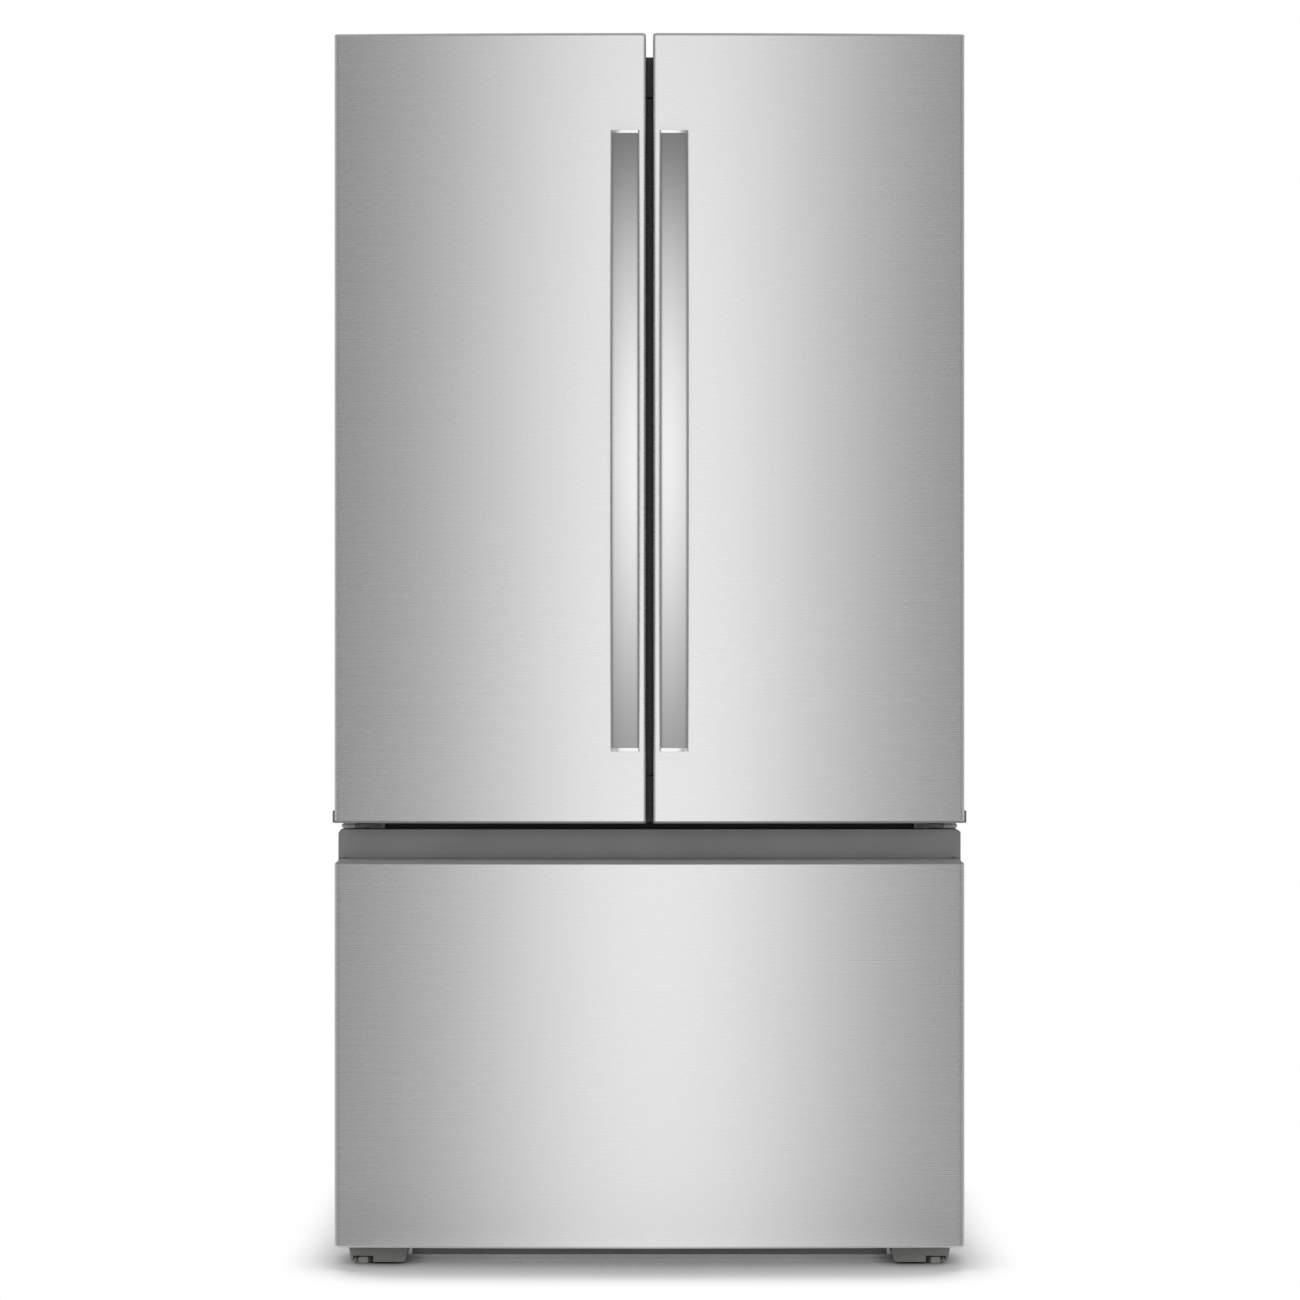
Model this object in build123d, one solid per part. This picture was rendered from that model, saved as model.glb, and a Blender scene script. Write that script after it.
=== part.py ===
from build123d import *
import math
import os

# French door refrigerator with a bottom freezer drawer, counter depth.
# Millimetres. +X is the viewer's right, -Y is the front, +Z is up.
# The origin is on the floor, under the centre of the outer box.

# Front elevation, from the floor up
FRONT_WIDTH = 904.0
DOOR_GAP = 10.0
FOOT_HEIGHT = 35.0
DRAWER_STEEL_HEIGHT = 550.0
GRIP_HEIGHT = 47.0
DOOR_DRAWER_GAP = 12.0
DOOR_HEIGHT = 1131.0
CASE_DROP = 17.0

# Depths, from the handles to the rear panel
HANDLE_REACH = 48.0
FRONT_BOW = 9.0
DOOR_DEPTH = 70.0
SEAL_GAP = 12.0
CASE_DEPTH = 610.0

# Sheet, plastic and running clearances
SHEET = 1.0
PLASTIC = 2.5
RUN_CLEAR = 0.3
PIN_CLEAR = 0.06
SLIDE_CLEAR = 0.4

# Cabinet
CASE_INSET = 4.0
CASE_LIFT = 7.0
SIDE_WALL = 48.0
TOP_WALL = 52.0
BACK_WALL = 62.0
FREEZER_FLOOR_RISE = 44.0
FREEZER_CEILING_DROP = 44.0
FRIDGE_FLOOR_RISE = 46.0
BAY_DEPTH = 210.0
BAY_HEIGHT = 258.0
BAY_WALL = 42.0
RAIL_WEB = 12.0
BEAD_WIDTH = 24.0
BEAD_HEIGHT = 4.0

# Hinges
HINGE_INSET = 20.0
HINGE_SETBACK = 36.0
HINGE_PIN_RADIUS = 5.0
HINGE_PIN_LENGTH = 26.0
HINGE_PLATE = 4.0
TONGUE_HALF = 12.0
HINGE_FOOT_LENGTH = 90.0
HINGE_FOOT_WIDTH = 74.0
COVER_WALL = 2.0
COLLAR_RADIUS = 10.0
NOTCH_WIDTH = 96.0
NOTCH_DEPTH = 52.0
NOTCH_CLEAR = 2.0

# Doors
OUTER_EDGE_RADIUS = 5.0
INNER_EDGE_RADIUS = 6.0
TOP_RIM = 4.0
BOTTOM_RIM = 3.0
TOP_PLUG = 46.0
BOTTOM_PLUG = 37.0
SKIN_RETURN = 10.0
LIP_THICK = 1.6
LIP_HEIGHT = 17.0
LIP_LENGTH = 30.0
LIP_SETBACK = 8.0
GASKET_WIDTH = 14.0
GASKET_INSET = 23.0
GASKET_CENTRE = 7.0
GASKET_TOP = 20.0
GASKET_BOTTOM = 12.0
DYKE_DEPTH = 40.0
DYKE_WALL = 3.0
DYKE_CLEAR = 8.0
DYKE_CENTRE = 54.0
BIN_DEPTH = 104.0
BIN_HEIGHT = 120.0
BIN_COUNT = 3
BIN_FIRST_RISE = 261.0
BIN_PITCH = 262.0

# Handles: a wide strap bent to one long arc, seated on the door at both ends
HANDLE_WIDTH = 41.0
HANDLE_LENGTH = 888.0
HANDLE_BOTTOM_RISE = 103.0
HANDLE_EDGE_GAP = 9.5
HANDLE_END_THICK = 9.0
HANDLE_STRAP = 11.0
HANDLE_FOOT = 46.0
HANDLE_EDGE_BEVEL = 2.5

# Folding mullion on the left door
FLIPPER_THICK = 17.7
FLIPPER_LEFT = 42.0
FLIPPER_RIGHT = 2.0
FLIPPER_CHAMFER = 8.0
FLIPPER_PIN_RADIUS = 3.0
FLIPPER_PIN_LENGTH = 14.0
FLIPPER_ARM = 10.0
FLIPPER_END_CLEAR = 8.0

# Freezer drawer
DRAWER_EDGE_RADIUS = 3.0
GRIP_SETBACK = 45.0
GRIP_BEVEL_RISE = 7.0
GRIP_BEVEL_DEPTH = 8.0
GRIP_LIP = 16.0
GRIP_TROUGH = 34.0
GRIP_WALL = 3.0
GRIP_END_WALL = 12.0
GRIP_CORNER = 5.0
DRAWER_GASKET_TOP = 26.0
SLIDE_LENGTH = 400.0
SLIDE_HEIGHT = 46.0
SLIDE_STEP_CLEAR = 8.0
SLIDE_BAR = 6.0
SLIDE_SETBACK = 6.0
BASKET_WALL = 3.0
BASKET_FLOOR_CLEAR = 16.0
BASKET_REAR_CLEAR = 10.0
BASKET_RIM = 4.0
TRAY_DEPTH = 180.0
TRAY_HEIGHT = 88.0
TRAY_WALL = 2.5

# Refrigerator inside
SHELF_SETBACK = 112.0
SHELF_RIM = 14.0
SHELF_RIM_HEIGHT = 12.0
SHELF_SIDE_CLEAR = 4.0
SHELF_FIRST_RISE = 480.0
SHELF_PITCH = 250.0
SHELF_ROWS = 2
SHELF_ARM = 4.0
SHELF_ARM_HEIGHT = 46.0
GLASS = 4.0
TRACK_WIDTH = 14.0
TRACK_THICK = 3.0
TRACK_SLOTS = 5
TRACK_INSET = 26.0
TRACK_CENTRE = 62.0
CRISPER_HEIGHT = 184.0
CRISPER_REAR_CLEAR = 26.0
CRISPER_SETBACK = 122.0
CRISPER_PULL = 15.0
CRISPER_SIDE_CLEAR = 10.0
CRISPER_CENTRE_CLEAR = 6.0
LEDGE_WIDTH = 8.0
LEDGE_HEIGHT = 10.0
COVER_RISE = 194.0
DUCT_WIDTH = 90.0
DUCT_THICK = 22.0
LIGHT_WIDTH = 300.0
LIGHT_LENGTH = 60.0
LIGHT_HEIGHT = 10.0
PANEL_WIDTH = 220.0
PANEL_LENGTH = 74.0
PANEL_HEIGHT = 14.0

# Cooling
EVAPORATOR_GAP = 80.0
COIL_WIDTH = 540.0
COIL_HEIGHT = 130.0
COIL_DEPTH = 60.0
COIL_FINS = 12
CONDENSER_WIDTH = 220.0
CONDENSER_DEPTH = 120.0
CONDENSER_HEIGHT = 150.0
CONDENSER_FINS = 9
FIN = 2.0
PAN_HEIGHT = 24.0
COMPRESSOR_RADIUS = 72.0
COMPRESSOR_HEIGHT = 150.0
COMPRESSOR_INSET = 193.0
EVAPORATOR_FAN_RADIUS = 38.0
CONDENSER_FAN_RADIUS = 68.0
FAN_BLADES = 5
FAN_HUB_LENGTH = 22.0
SHAFT_RADIUS = 3.0
MOTOR_HALF = 19.0
MOTOR_LENGTH = 28.0

# Floor contact
LEG_PAD_RADIUS = 12.5
LEG_PAD_ROOM = 2.0
LEG_PAD_HEIGHT = 9.0
LEG_STEM_RADIUS = 6.0
LEG_INSET = 36.0
FOOT_COVER_WIDTH = 88.0
FOOT_COVER_FRONT = 28.0
FOOT_COVER_LENGTH = 70.0
FOOT_COVER_INSET = 14.0
FOOT_COVER_CLEAR = 3.0
FOOT_COVER_TAPER = 5.0
FOOT_COVER_CORNER = 6.0
KICK_LIP_RISE = 8.0
ROLLER_RADIUS = 21.0
ROLLER_WIDTH = 18.0
ROLLER_INSET = 60.0
ROLLER_REAR = 56.0
AXLE_RADIUS = 4.0
FORK_PLATE = 2.5

# Levels and planes that follow from the sizes above
front_half = FRONT_WIDTH / 2
drawer_z0 = FOOT_HEIGHT
steel_z1 = drawer_z0 + DRAWER_STEEL_HEIGHT
grip_z1 = steel_z1 + GRIP_HEIGHT
door_z0 = grip_z1 + DOOR_DRAWER_GAP
door_z1 = door_z0 + DOOR_HEIGHT
case_z0 = drawer_z0 + CASE_LIFT
case_z1 = door_z1 - CASE_DROP
total_depth = HANDLE_REACH + FRONT_BOW + DOOR_DEPTH + SEAL_GAP + CASE_DEPTH
y_handle = -total_depth / 2
y_crest = y_handle + HANDLE_REACH
y_edge = y_crest + FRONT_BOW
y_door = y_edge + DOOR_DEPTH
y_face = y_door + SEAL_GAP
y_back = y_face + CASE_DEPTH
bow_radius = (front_half**2 + FRONT_BOW**2) / (2 * FRONT_BOW)
bow_centre = y_crest + bow_radius
case_half = front_half - CASE_INSET
cav_half = case_half - SIDE_WALL
cav_back = y_back - BACK_WALL
fridge_z0 = door_z0 + FRIDGE_FLOOR_RISE
fridge_z1 = case_z1 - TOP_WALL
freezer_z0 = case_z0 + FREEZER_FLOOR_RISE
freezer_z1 = grip_z1 - FREEZER_CEILING_DROP
bay_y0 = y_back - BAY_DEPTH
bay_z1 = case_z0 + BAY_HEIGHT
step_y = bay_y0 - BAY_WALL
step_z = bay_z1 + BAY_WALL
hinge_x = front_half - HINGE_INSET
hinge_y = y_face - HINGE_SETBACK
door_inner = DOOR_GAP / 2


def block(x0, x1, y0, y1, z0, z1):
    """A rectangular solid between two corners."""
    centre = Pos((x0 + x1) / 2, (y0 + y1) / 2, (z0 + z1) / 2)
    return centre * Box(abs(x1 - x0), abs(y1 - y0), abs(z1 - z0))


def post(x, y, z0, z1, radius):
    """An upright cylinder."""
    return Pos(x, y, (z0 + z1) / 2) * Cylinder(radius, z1 - z0)


def rod_x(x0, x1, y, z, radius):
    """A cylinder along X."""
    return Pos((x0 + x1) / 2, y, z) * Rot(0, 90, 0) * Cylinder(radius, x1 - x0)


def rod_y(x, y0, y1, z, radius):
    """A cylinder along Y."""
    return Pos(x, (y0 + y1) / 2, z) * Rot(90, 0, 0) * Cylinder(radius, y1 - y0)


def profile_x(points, x0, x1):
    """A Y-Z outline drawn through points and extruded along X."""
    wire = Polyline(*[(x0, y, z) for y, z in points], close=True)
    return extrude(make_face(wire), amount=x1 - x0, dir=(1, 0, 0))


def mirrored(shape):
    """The right-hand twin of a left-hand piece."""
    return mirror(shape, about=Plane.YZ)


def parts_of(pieces):
    """Several separate solids as one compound."""
    return Compound(children=[p for p in pieces])


def bow_y(x, inset=0.0):
    """Front surface of the doors and drawer at x, in one shallow arc across the width."""
    return bow_centre - math.sqrt((bow_radius - inset) ** 2 - x**2)


def plan(x0, x1, y1, inset, radius0, radius1):
    """Plan outline of a door or drawer: bowed front, straight sides, flat back."""
    a = (x0 + inset, bow_y(x0 + inset, inset))
    b = (x1 - inset, bow_y(x1 - inset, inset))
    middle = ((x0 + x1) / 2, bow_y((x0 + x1) / 2, inset))
    edge = ThreePointArc(a, middle, b) + Polyline(b, (b[0], y1), (a[0], y1), a)
    face = make_face(edge)
    corners = face.vertices().sort_by(Axis.Y)[:2].sort_by(Axis.X)
    face = fillet(corners[0], max(radius0 - inset, SHEET / 2))
    corners = face.vertices().sort_by(Axis.X)[-2:].sort_by(Axis.Y)
    return fillet(corners[0], max(radius1 - inset, SHEET / 2))


def rise(face, z0, z1):
    """A plan outline extruded between two levels."""
    return Pos(0, 0, z0) * extrude(face, amount=z1 - z0, dir=(0, 0, 1))


# The outer case: sides and top in one folded sheet, with a wide front return that the
# door gaskets close on
outer_case = block(-case_half, case_half, y_face, y_back, case_z0, case_z1)
outer_case -= block(-case_half + SHEET, case_half - SHEET, y_face + SHEET, y_back, case_z0, case_z1 - SHEET)
outer_case -= block(-cav_half, cav_half, y_face, y_face + SHEET, case_z0, fridge_z1)
long_edges = outer_case.edges().filter_by(Axis.Y).filter_by_position(Axis.Z, case_z1 - 0.1, case_z1 + 0.1)
outer_case = fillet(long_edges, SHEET * 2)

# The rear panel, stiffened by upright pressed beads
back_panel = block(-case_half + SHEET, case_half - SHEET, y_back - SHEET, y_back, bay_z1, case_z1 - SHEET)
bead_step = case_half / 2
bead_room = []
for i in range(-1, 2):
    bead_z0 = bay_z1 + SIDE_WALL
    bead_z1 = case_z1 - SIDE_WALL
    bead = block(i * bead_step - BEAD_WIDTH / 2, i * bead_step + BEAD_WIDTH / 2,
                 y_back - BEAD_HEIGHT, y_back, bead_z0, bead_z1)
    hollow = block(i * bead_step - BEAD_WIDTH / 2 + SHEET, i * bead_step + BEAD_WIDTH / 2 - SHEET,
                   y_back - BEAD_HEIGHT + SHEET, y_back, bead_z0 + SHEET, bead_z1 - SHEET)
    back_panel = back_panel + bead - hollow
    bead_room.append(bead)

# The refrigerator liner: a white tub on its back, with a ledge each side for the crisper cover
fridge_void = block(-cav_half, cav_half, y_face, cav_back, fridge_z0, fridge_z1)
fridge_outer = block(-cav_half - PLASTIC, cav_half + PLASTIC, y_face + SHEET, cav_back + PLASTIC,
                     fridge_z0 - PLASTIC, fridge_z1 + PLASTIC)
cover_z0 = fridge_z0 + COVER_RISE
shelf_y0 = y_face + SHELF_SETBACK
fridge_liner = fridge_outer - fridge_void
for side in (-1, 1):
    ledge = block(side * (cav_half - LEDGE_WIDTH), side * cav_half, shelf_y0, cav_back,
                  cover_z0 - LEDGE_HEIGHT, cover_z0)
    fridge_liner += ledge

# The freezer liner, stepped at the back over the machine bay


def freezer_outline(grow):
    return [
        (y_face + SHEET, freezer_z0 - grow),
        (step_y + grow, freezer_z0 - grow),
        (step_y + grow, step_z - grow),
        (cav_back + grow, step_z - grow),
        (cav_back + grow, freezer_z1 + grow),
        (y_face + SHEET, freezer_z1 + grow),
    ]


freezer_outer = profile_x(freezer_outline(PLASTIC), -cav_half - PLASTIC, cav_half + PLASTIC)
freezer_liner = freezer_outer - profile_x(freezer_outline(0.0), -cav_half, cav_half)

# The centre rail that carries the lower door hinges
center_rail = block(-cav_half, cav_half, y_face, y_face + SHEET, freezer_z1, fridge_z0)
web_z0 = freezer_z1 + PLASTIC * 2
web_z1 = fridge_z0 - PLASTIC * 2
for z in (web_z0, web_z1 - SHEET):
    center_rail += block(-cav_half, cav_half, y_face + SHEET, y_face + RAIL_WEB, z, z + SHEET)

# The base pan: a sheet under the freezer, a front upstand with a lip folded down between the
# feet, the step over the machine bay, and the two forks that hold the rear rollers
pan_half = case_half - SHEET
base_pan = block(-pan_half, pan_half, y_face + SHEET, y_back - SHEET, case_z0, case_z0 + SHEET)
base_pan += block(-cav_half, cav_half, y_face, y_face + SHEET, case_z0, freezer_z0)
lip_half = front_half - FOOT_COVER_INSET - FOOT_COVER_WIDTH - FOOT_COVER_CLEAR
base_pan += block(-lip_half, lip_half, y_face, y_face + SHEET, KICK_LIP_RISE, case_z0)
base_pan += block(-pan_half, pan_half, bay_y0, bay_y0 + SHEET, case_z0, bay_z1)
base_pan += block(-pan_half, pan_half, bay_y0, y_back - SHEET, bay_z1 - SHEET, bay_z1)
roller_x = case_half - ROLLER_INSET
roller_y = y_back - ROLLER_REAR
fork_gap = ROLLER_WIDTH / 2 + RUN_CLEAR
fork_half = ROLLER_RADIUS * 0.6
fork_z0 = ROLLER_RADIUS - fork_half * 0.75
for side in (-1, 1):
    x = side * roller_x
    axle = rod_x(x - fork_gap - FORK_PLATE, x + fork_gap + FORK_PLATE, roller_y, ROLLER_RADIUS, AXLE_RADIUS)
    base_pan += axle
    for cheek in (-1, 1):
        x0 = x + cheek * fork_gap
        x1 = x0 + cheek * FORK_PLATE
        fork_outline = [(roller_y - fork_half, case_z0), (roller_y - fork_half, ROLLER_RADIUS),
                        (roller_y - fork_half * 0.5, fork_z0), (roller_y + fork_half * 0.5, fork_z0),
                        (roller_y + fork_half, ROLLER_RADIUS), (roller_y + fork_half, case_z0)]
        base_pan += profile_x(fork_outline, min(x0, x1), max(x0, x1))
# the sheet is open above each roller
for side in (-1, 1):
    x = side * roller_x
    base_pan -= block(x - fork_gap, x + fork_gap, roller_y - ROLLER_RADIUS - RUN_CLEAR,
                      roller_y + ROLLER_RADIUS + RUN_CLEAR, case_z0 - SHEET, case_z0 + SHEET)

# Foamed insulation between the case and the liners
insulation = block(-pan_half, pan_half, y_face + SHEET, y_back - SHEET, case_z0 + SHEET, case_z1 - SHEET)
insulation -= block(-pan_half, pan_half, bay_y0, y_back, case_z0, bay_z1)
insulation -= block(-cav_half - PLASTIC, cav_half + PLASTIC, y_face, cav_back + PLASTIC,
                    fridge_z0 - PLASTIC, fridge_z1 + PLASTIC)
insulation -= freezer_outer
insulation -= center_rail
for bead in bead_room:
    insulation -= bead

# The rear cover of the machine bay, with two banks of upright vents and the cord's grommet
rear_cover = block(-pan_half, pan_half, y_back - SHEET, y_back, case_z0 + SHEET, bay_z1)
vent_z0 = case_z0 + BAY_HEIGHT * 0.3
vent_z1 = case_z0 + BAY_HEIGHT * 0.75
vent_pitch = 18.0
vent_width = 7.0
for bank in (-1, 1):
    for i in range(7):
        x = bank * (case_half * 0.5) + (i - 3) * vent_pitch
        rear_cover -= block(x - vent_width / 2, x + vent_width / 2, y_back - SHEET, y_back,
                            vent_z0, vent_z1)
grommet_half = 9.0
flange_half = grommet_half + 3.0
rear_cover -= block(-grommet_half, grommet_half, y_back - SHEET, y_back,
                    vent_z0 - grommet_half, vent_z0 + grommet_half)
neck_half = grommet_half - PIN_CLEAR
cord_grommet = block(-neck_half, neck_half, y_back - SHEET * 5, y_back,
                     vent_z0 - neck_half, vent_z0 + neck_half)
cord_grommet += block(-flange_half, flange_half, y_back - SHEET * 5, y_back - SHEET,
                      vent_z0 - flange_half, vent_z0 + flange_half)
cord_bore = Plane.XZ.offset(SHEET - y_back) * Pos(0, vent_z0) * RegularPolygon(grommet_half * 0.5, 12)
cord_grommet -= extrude(cord_bore, amount=SHEET * 5, both=True)

# The compressor: a welded steel shell on a foot plate, with its suction and discharge stubs
compressor_x = -case_half + COMPRESSOR_INSET
compressor_y = (bay_y0 + y_back) / 2
foot_z = case_z0 + SHEET
shell_z0 = foot_z + 10
shell_outline = Pos(compressor_x, compressor_y, shell_z0) * RegularPolygon(COMPRESSOR_RADIUS, 24)
shell = extrude(shell_outline, amount=COMPRESSOR_HEIGHT, dir=(0, 0, 1))
shell_ends = shell.faces().filter_by(Axis.Z).edges()
compressor = chamfer(shell_ends, COMPRESSOR_RADIUS * 0.3)
foot_half = COMPRESSOR_RADIUS * 0.95
compressor += block(compressor_x - foot_half, compressor_x + foot_half, compressor_y - foot_half,
                    compressor_y + foot_half, foot_z + 8, foot_z + 12)
mount_half = 8.0
for dx in (-1, 1):
    for dy in (-1, 1):
        mount_x = compressor_x + dx * (foot_half - 11)
        mount_y = compressor_y + dy * (foot_half - 11)
        compressor += block(mount_x - mount_half, mount_x + mount_half, mount_y - mount_half,
                            mount_y + mount_half, foot_z, foot_z + 8)
stub_z = shell_z0 + COMPRESSOR_HEIGHT * 0.5
for stub_x, stub_radius in ((compressor_x, 5.0), (compressor_x + 24, 4.0)):
    stub_outline = Pos(stub_x, compressor_y + COMPRESSOR_RADIUS * 0.8, stub_z) * Rot(90, 0, 0)
    stub_outline *= RegularPolygon(stub_radius, 8)
    compressor += extrude(stub_outline, amount=COMPRESSOR_RADIUS * 0.2 + 14, dir=(0, 1, 0))


def finned_coil(x0, x1, y0, y1, z0, z1, fins):
    """A coil block: a tube slab through evenly spaced upright fins, with two end plates."""
    lap = (z1 - z0) * 0.18
    solid = block(x0, x1, y0 + lap, y1 - lap, z0 + lap, z1 - lap)
    step = (x1 - x0 - FIN) / (fins - 1)
    for i in range(fins):
        x = x0 + i * step
        solid += block(x, x + FIN, y0, y1, z0, z1)
    return solid


# The drain pan under the condenser, and the condenser standing on its rim
pan_x0 = -20.0
pan_x1 = pan_x0 + CONDENSER_WIDTH
pan_y0 = compressor_y - CONDENSER_DEPTH / 2
pan_y1 = compressor_y + CONDENSER_DEPTH / 2
drain_pan = block(pan_x0, pan_x1, pan_y0, pan_y1, foot_z, foot_z + PAN_HEIGHT)
drain_pan -= block(pan_x0 + PLASTIC, pan_x1 - PLASTIC, pan_y0 + PLASTIC, pan_y1 - PLASTIC,
                   foot_z + PLASTIC, foot_z + PAN_HEIGHT)
condenser = finned_coil(pan_x0, pan_x1, pan_y0, pan_y1, foot_z + PAN_HEIGHT,
                        foot_z + PAN_HEIGHT + CONDENSER_HEIGHT, CONDENSER_FINS)

# The evaporator on the freezer's rear wall and the moulded cover in front of it
evap_z0 = step_z
evaporator = finned_coil(-COIL_WIDTH / 2, COIL_WIDTH / 2, cav_back - COIL_DEPTH, cav_back,
                         evap_z0, evap_z0 + COIL_HEIGHT, COIL_FINS)
cover_y = cav_back - EVAPORATOR_GAP
evaporator_cover = block(-cav_half, cav_half, cover_y - PLASTIC, cover_y, step_z, freezer_z1)
fan_z = (evap_z0 + COIL_HEIGHT + freezer_z1) / 2
for i in range(-2, 3):
    slot_half = EVAPORATOR_FAN_RADIUS * math.sqrt(1 - (i / 3) ** 2)
    z = fan_z + i * EVAPORATOR_FAN_RADIUS / 3
    evaporator_cover -= block(-slot_half, slot_half, cover_y - PLASTIC, cover_y, z - 4, z + 4)
for i in range(-5, 6):
    x = i * COIL_WIDTH / 12
    evaporator_cover -= block(x - 14, x + 14, cover_y - PLASTIC, cover_y, step_z + 14, step_z + 22)


def fan_rotor(radius, length, bore):
    """A hub with pitched blades round a bore, on the Z axis."""
    hub_radius = radius * 0.3
    hub = extrude(RegularPolygon(hub_radius, 12), amount=length / 2, both=True)
    rotor = hub
    blade_length = radius * 0.94 - hub_radius * 0.7
    for i in range(FAN_BLADES):
        blade = Box(blade_length, radius * 0.62, 2.0)
        blade = Pos(hub_radius * 0.7 + blade_length / 2, 0, 0) * Rot(24, 0, 0) * blade
        rotor += Rot(0, 0, i * 360 / FAN_BLADES) * blade
    return rotor - Cylinder(bore, length * 2)


# Both fans, each on its motor's shaft
shaft_bore = SHAFT_RADIUS + PIN_CLEAR
evap_fan_y = cav_back - MOTOR_LENGTH - FAN_HUB_LENGTH / 2 - RUN_CLEAR
evaporator_fan = Pos(0, evap_fan_y, fan_z) * Rot(90, 0, 0) * fan_rotor(
    EVAPORATOR_FAN_RADIUS, FAN_HUB_LENGTH, shaft_bore)
evap_motor = block(-MOTOR_HALF, MOTOR_HALF, cav_back - MOTOR_LENGTH, cav_back,
                   fan_z - MOTOR_HALF, fan_z + MOTOR_HALF)
evap_motor += rod_y(0, evap_fan_y - FAN_HUB_LENGTH / 2, cav_back, fan_z, SHAFT_RADIUS)
cond_fan_x = pan_x0 - FAN_HUB_LENGTH * 2
cond_fan_z = foot_z + CONDENSER_FAN_RADIUS + 22
condenser_fan = Pos(cond_fan_x, compressor_y, cond_fan_z) * Rot(0, 90, 0) * fan_rotor(
    CONDENSER_FAN_RADIUS, FAN_HUB_LENGTH, shaft_bore)
cond_motor_x1 = cond_fan_x - FAN_HUB_LENGTH / 2 - RUN_CLEAR
cond_motor_x0 = cond_motor_x1 - MOTOR_LENGTH
cond_motor = block(cond_motor_x0, cond_motor_x1, compressor_y - MOTOR_HALF, compressor_y + MOTOR_HALF,
                   cond_fan_z - MOTOR_HALF, cond_fan_z + MOTOR_HALF)
cond_motor += rod_x(cond_motor_x0, cond_fan_x + FAN_HUB_LENGTH / 2, compressor_y, cond_fan_z,
                    SHAFT_RADIUS)
cond_motor += block(cond_motor_x0, cond_motor_x0 + 3, compressor_y - 16, compressor_y + 16,
                    foot_z, cond_fan_z)
cond_motor += block(cond_motor_x0 - 20, cond_motor_x0 + 3, compressor_y - 16, compressor_y + 16,
                    foot_z, foot_z + 3)
fan_motors = parts_of([evap_motor, cond_motor])

# Top hinges: a plate on the case with a tongue that reaches over a notch in the door
hinge_foot_x = case_half - 3.0


def top_hinge():
    x = -hinge_x
    plate_z1 = case_z1 + HINGE_PLATE
    foot_y = y_face + 6
    foot = block(-hinge_foot_x, -hinge_foot_x + HINGE_FOOT_WIDTH, foot_y, foot_y + HINGE_FOOT_LENGTH,
                 case_z1, plate_z1)
    tongue = block(x - TONGUE_HALF, x + TONGUE_HALF, hinge_y - TONGUE_HALF, foot_y + 2, case_z1, plate_z1)
    tongue = chamfer(tongue.edges().filter_by(Axis.Z).sort_by(Axis.Y)[:2], TONGUE_HALF * 0.6)
    pin = post(x, hinge_y, case_z1 - HINGE_PIN_LENGTH, plate_z1, HINGE_PIN_RADIUS)
    return foot + tongue + pin


top_hinge_left = top_hinge()
top_hinges = parts_of([top_hinge_left, mirrored(top_hinge_left)])

# Moulded covers over the top hinges
hinge_cover_top = case_z1 + CASE_DROP - 2.0
hinge_cover_x1 = -hinge_foot_x + HINGE_FOOT_WIDTH + 8.0
hinge_cover_y1 = y_face + HINGE_FOOT_LENGTH + 14.0
left_hinge_cover = block(-case_half, hinge_cover_x1, y_face - 4, hinge_cover_y1, case_z1, hinge_cover_top)
upper = left_hinge_cover.edges().filter_by_position(Axis.Z, hinge_cover_top - 0.1, hinge_cover_top + 0.1)
left_hinge_cover = chamfer(upper, COVER_WALL)
left_hinge_cover -= block(-case_half + COVER_WALL, hinge_cover_x1 - COVER_WALL, y_face - 4 + COVER_WALL,
                          hinge_cover_y1 - COVER_WALL, case_z1, hinge_cover_top - COVER_WALL)
left_hinge_cover -= block(-hinge_x - TONGUE_HALF - 1, -hinge_x + TONGUE_HALF + 1, y_face - 5, y_face,
                          case_z1, case_z1 + HINGE_PLATE + 1)
hinge_covers = parts_of([left_hinge_cover, mirrored(left_hinge_cover)])

# Centre hinges: an angle bolted to the rail, its plate in the slot between door and drawer,
# with the pin and the collar that the door stands on
hinge_plate_z0 = grip_z1 + (DOOR_DRAWER_GAP - HINGE_PLATE) * 0.4
hinge_plate_z1 = hinge_plate_z0 + HINGE_PLATE


def center_hinge():
    x = -hinge_x
    x0 = -case_half + 2
    x1 = x0 + HINGE_FOOT_WIDTH * 0.8
    upright = block(x0, x1, y_face - HINGE_PLATE, y_face, hinge_plate_z0 - 16, door_z0 - SHEET)
    tip_y = hinge_y - TONGUE_HALF
    wide = Polyline((x0, y_face), (x1, y_face), (x + TONGUE_HALF, hinge_y), (x + TONGUE_HALF * 0.5, tip_y),
                    (x - TONGUE_HALF * 0.5, tip_y), (x0, hinge_y), close=True)
    arm = rise(make_face(wide), hinge_plate_z0, hinge_plate_z1)
    collar_outline = Pos(x, hinge_y) * RegularPolygon(COLLAR_RADIUS, 6)
    collar = rise(collar_outline, hinge_plate_z1, door_z0 - RUN_CLEAR)
    pin = post(x, hinge_y, hinge_plate_z1, door_z0 + HINGE_PIN_LENGTH, HINGE_PIN_RADIUS)
    return upright + arm + collar + pin


center_hinge_left = center_hinge()
center_hinges = parts_of([center_hinge_left, mirrored(center_hinge_left)])

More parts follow.
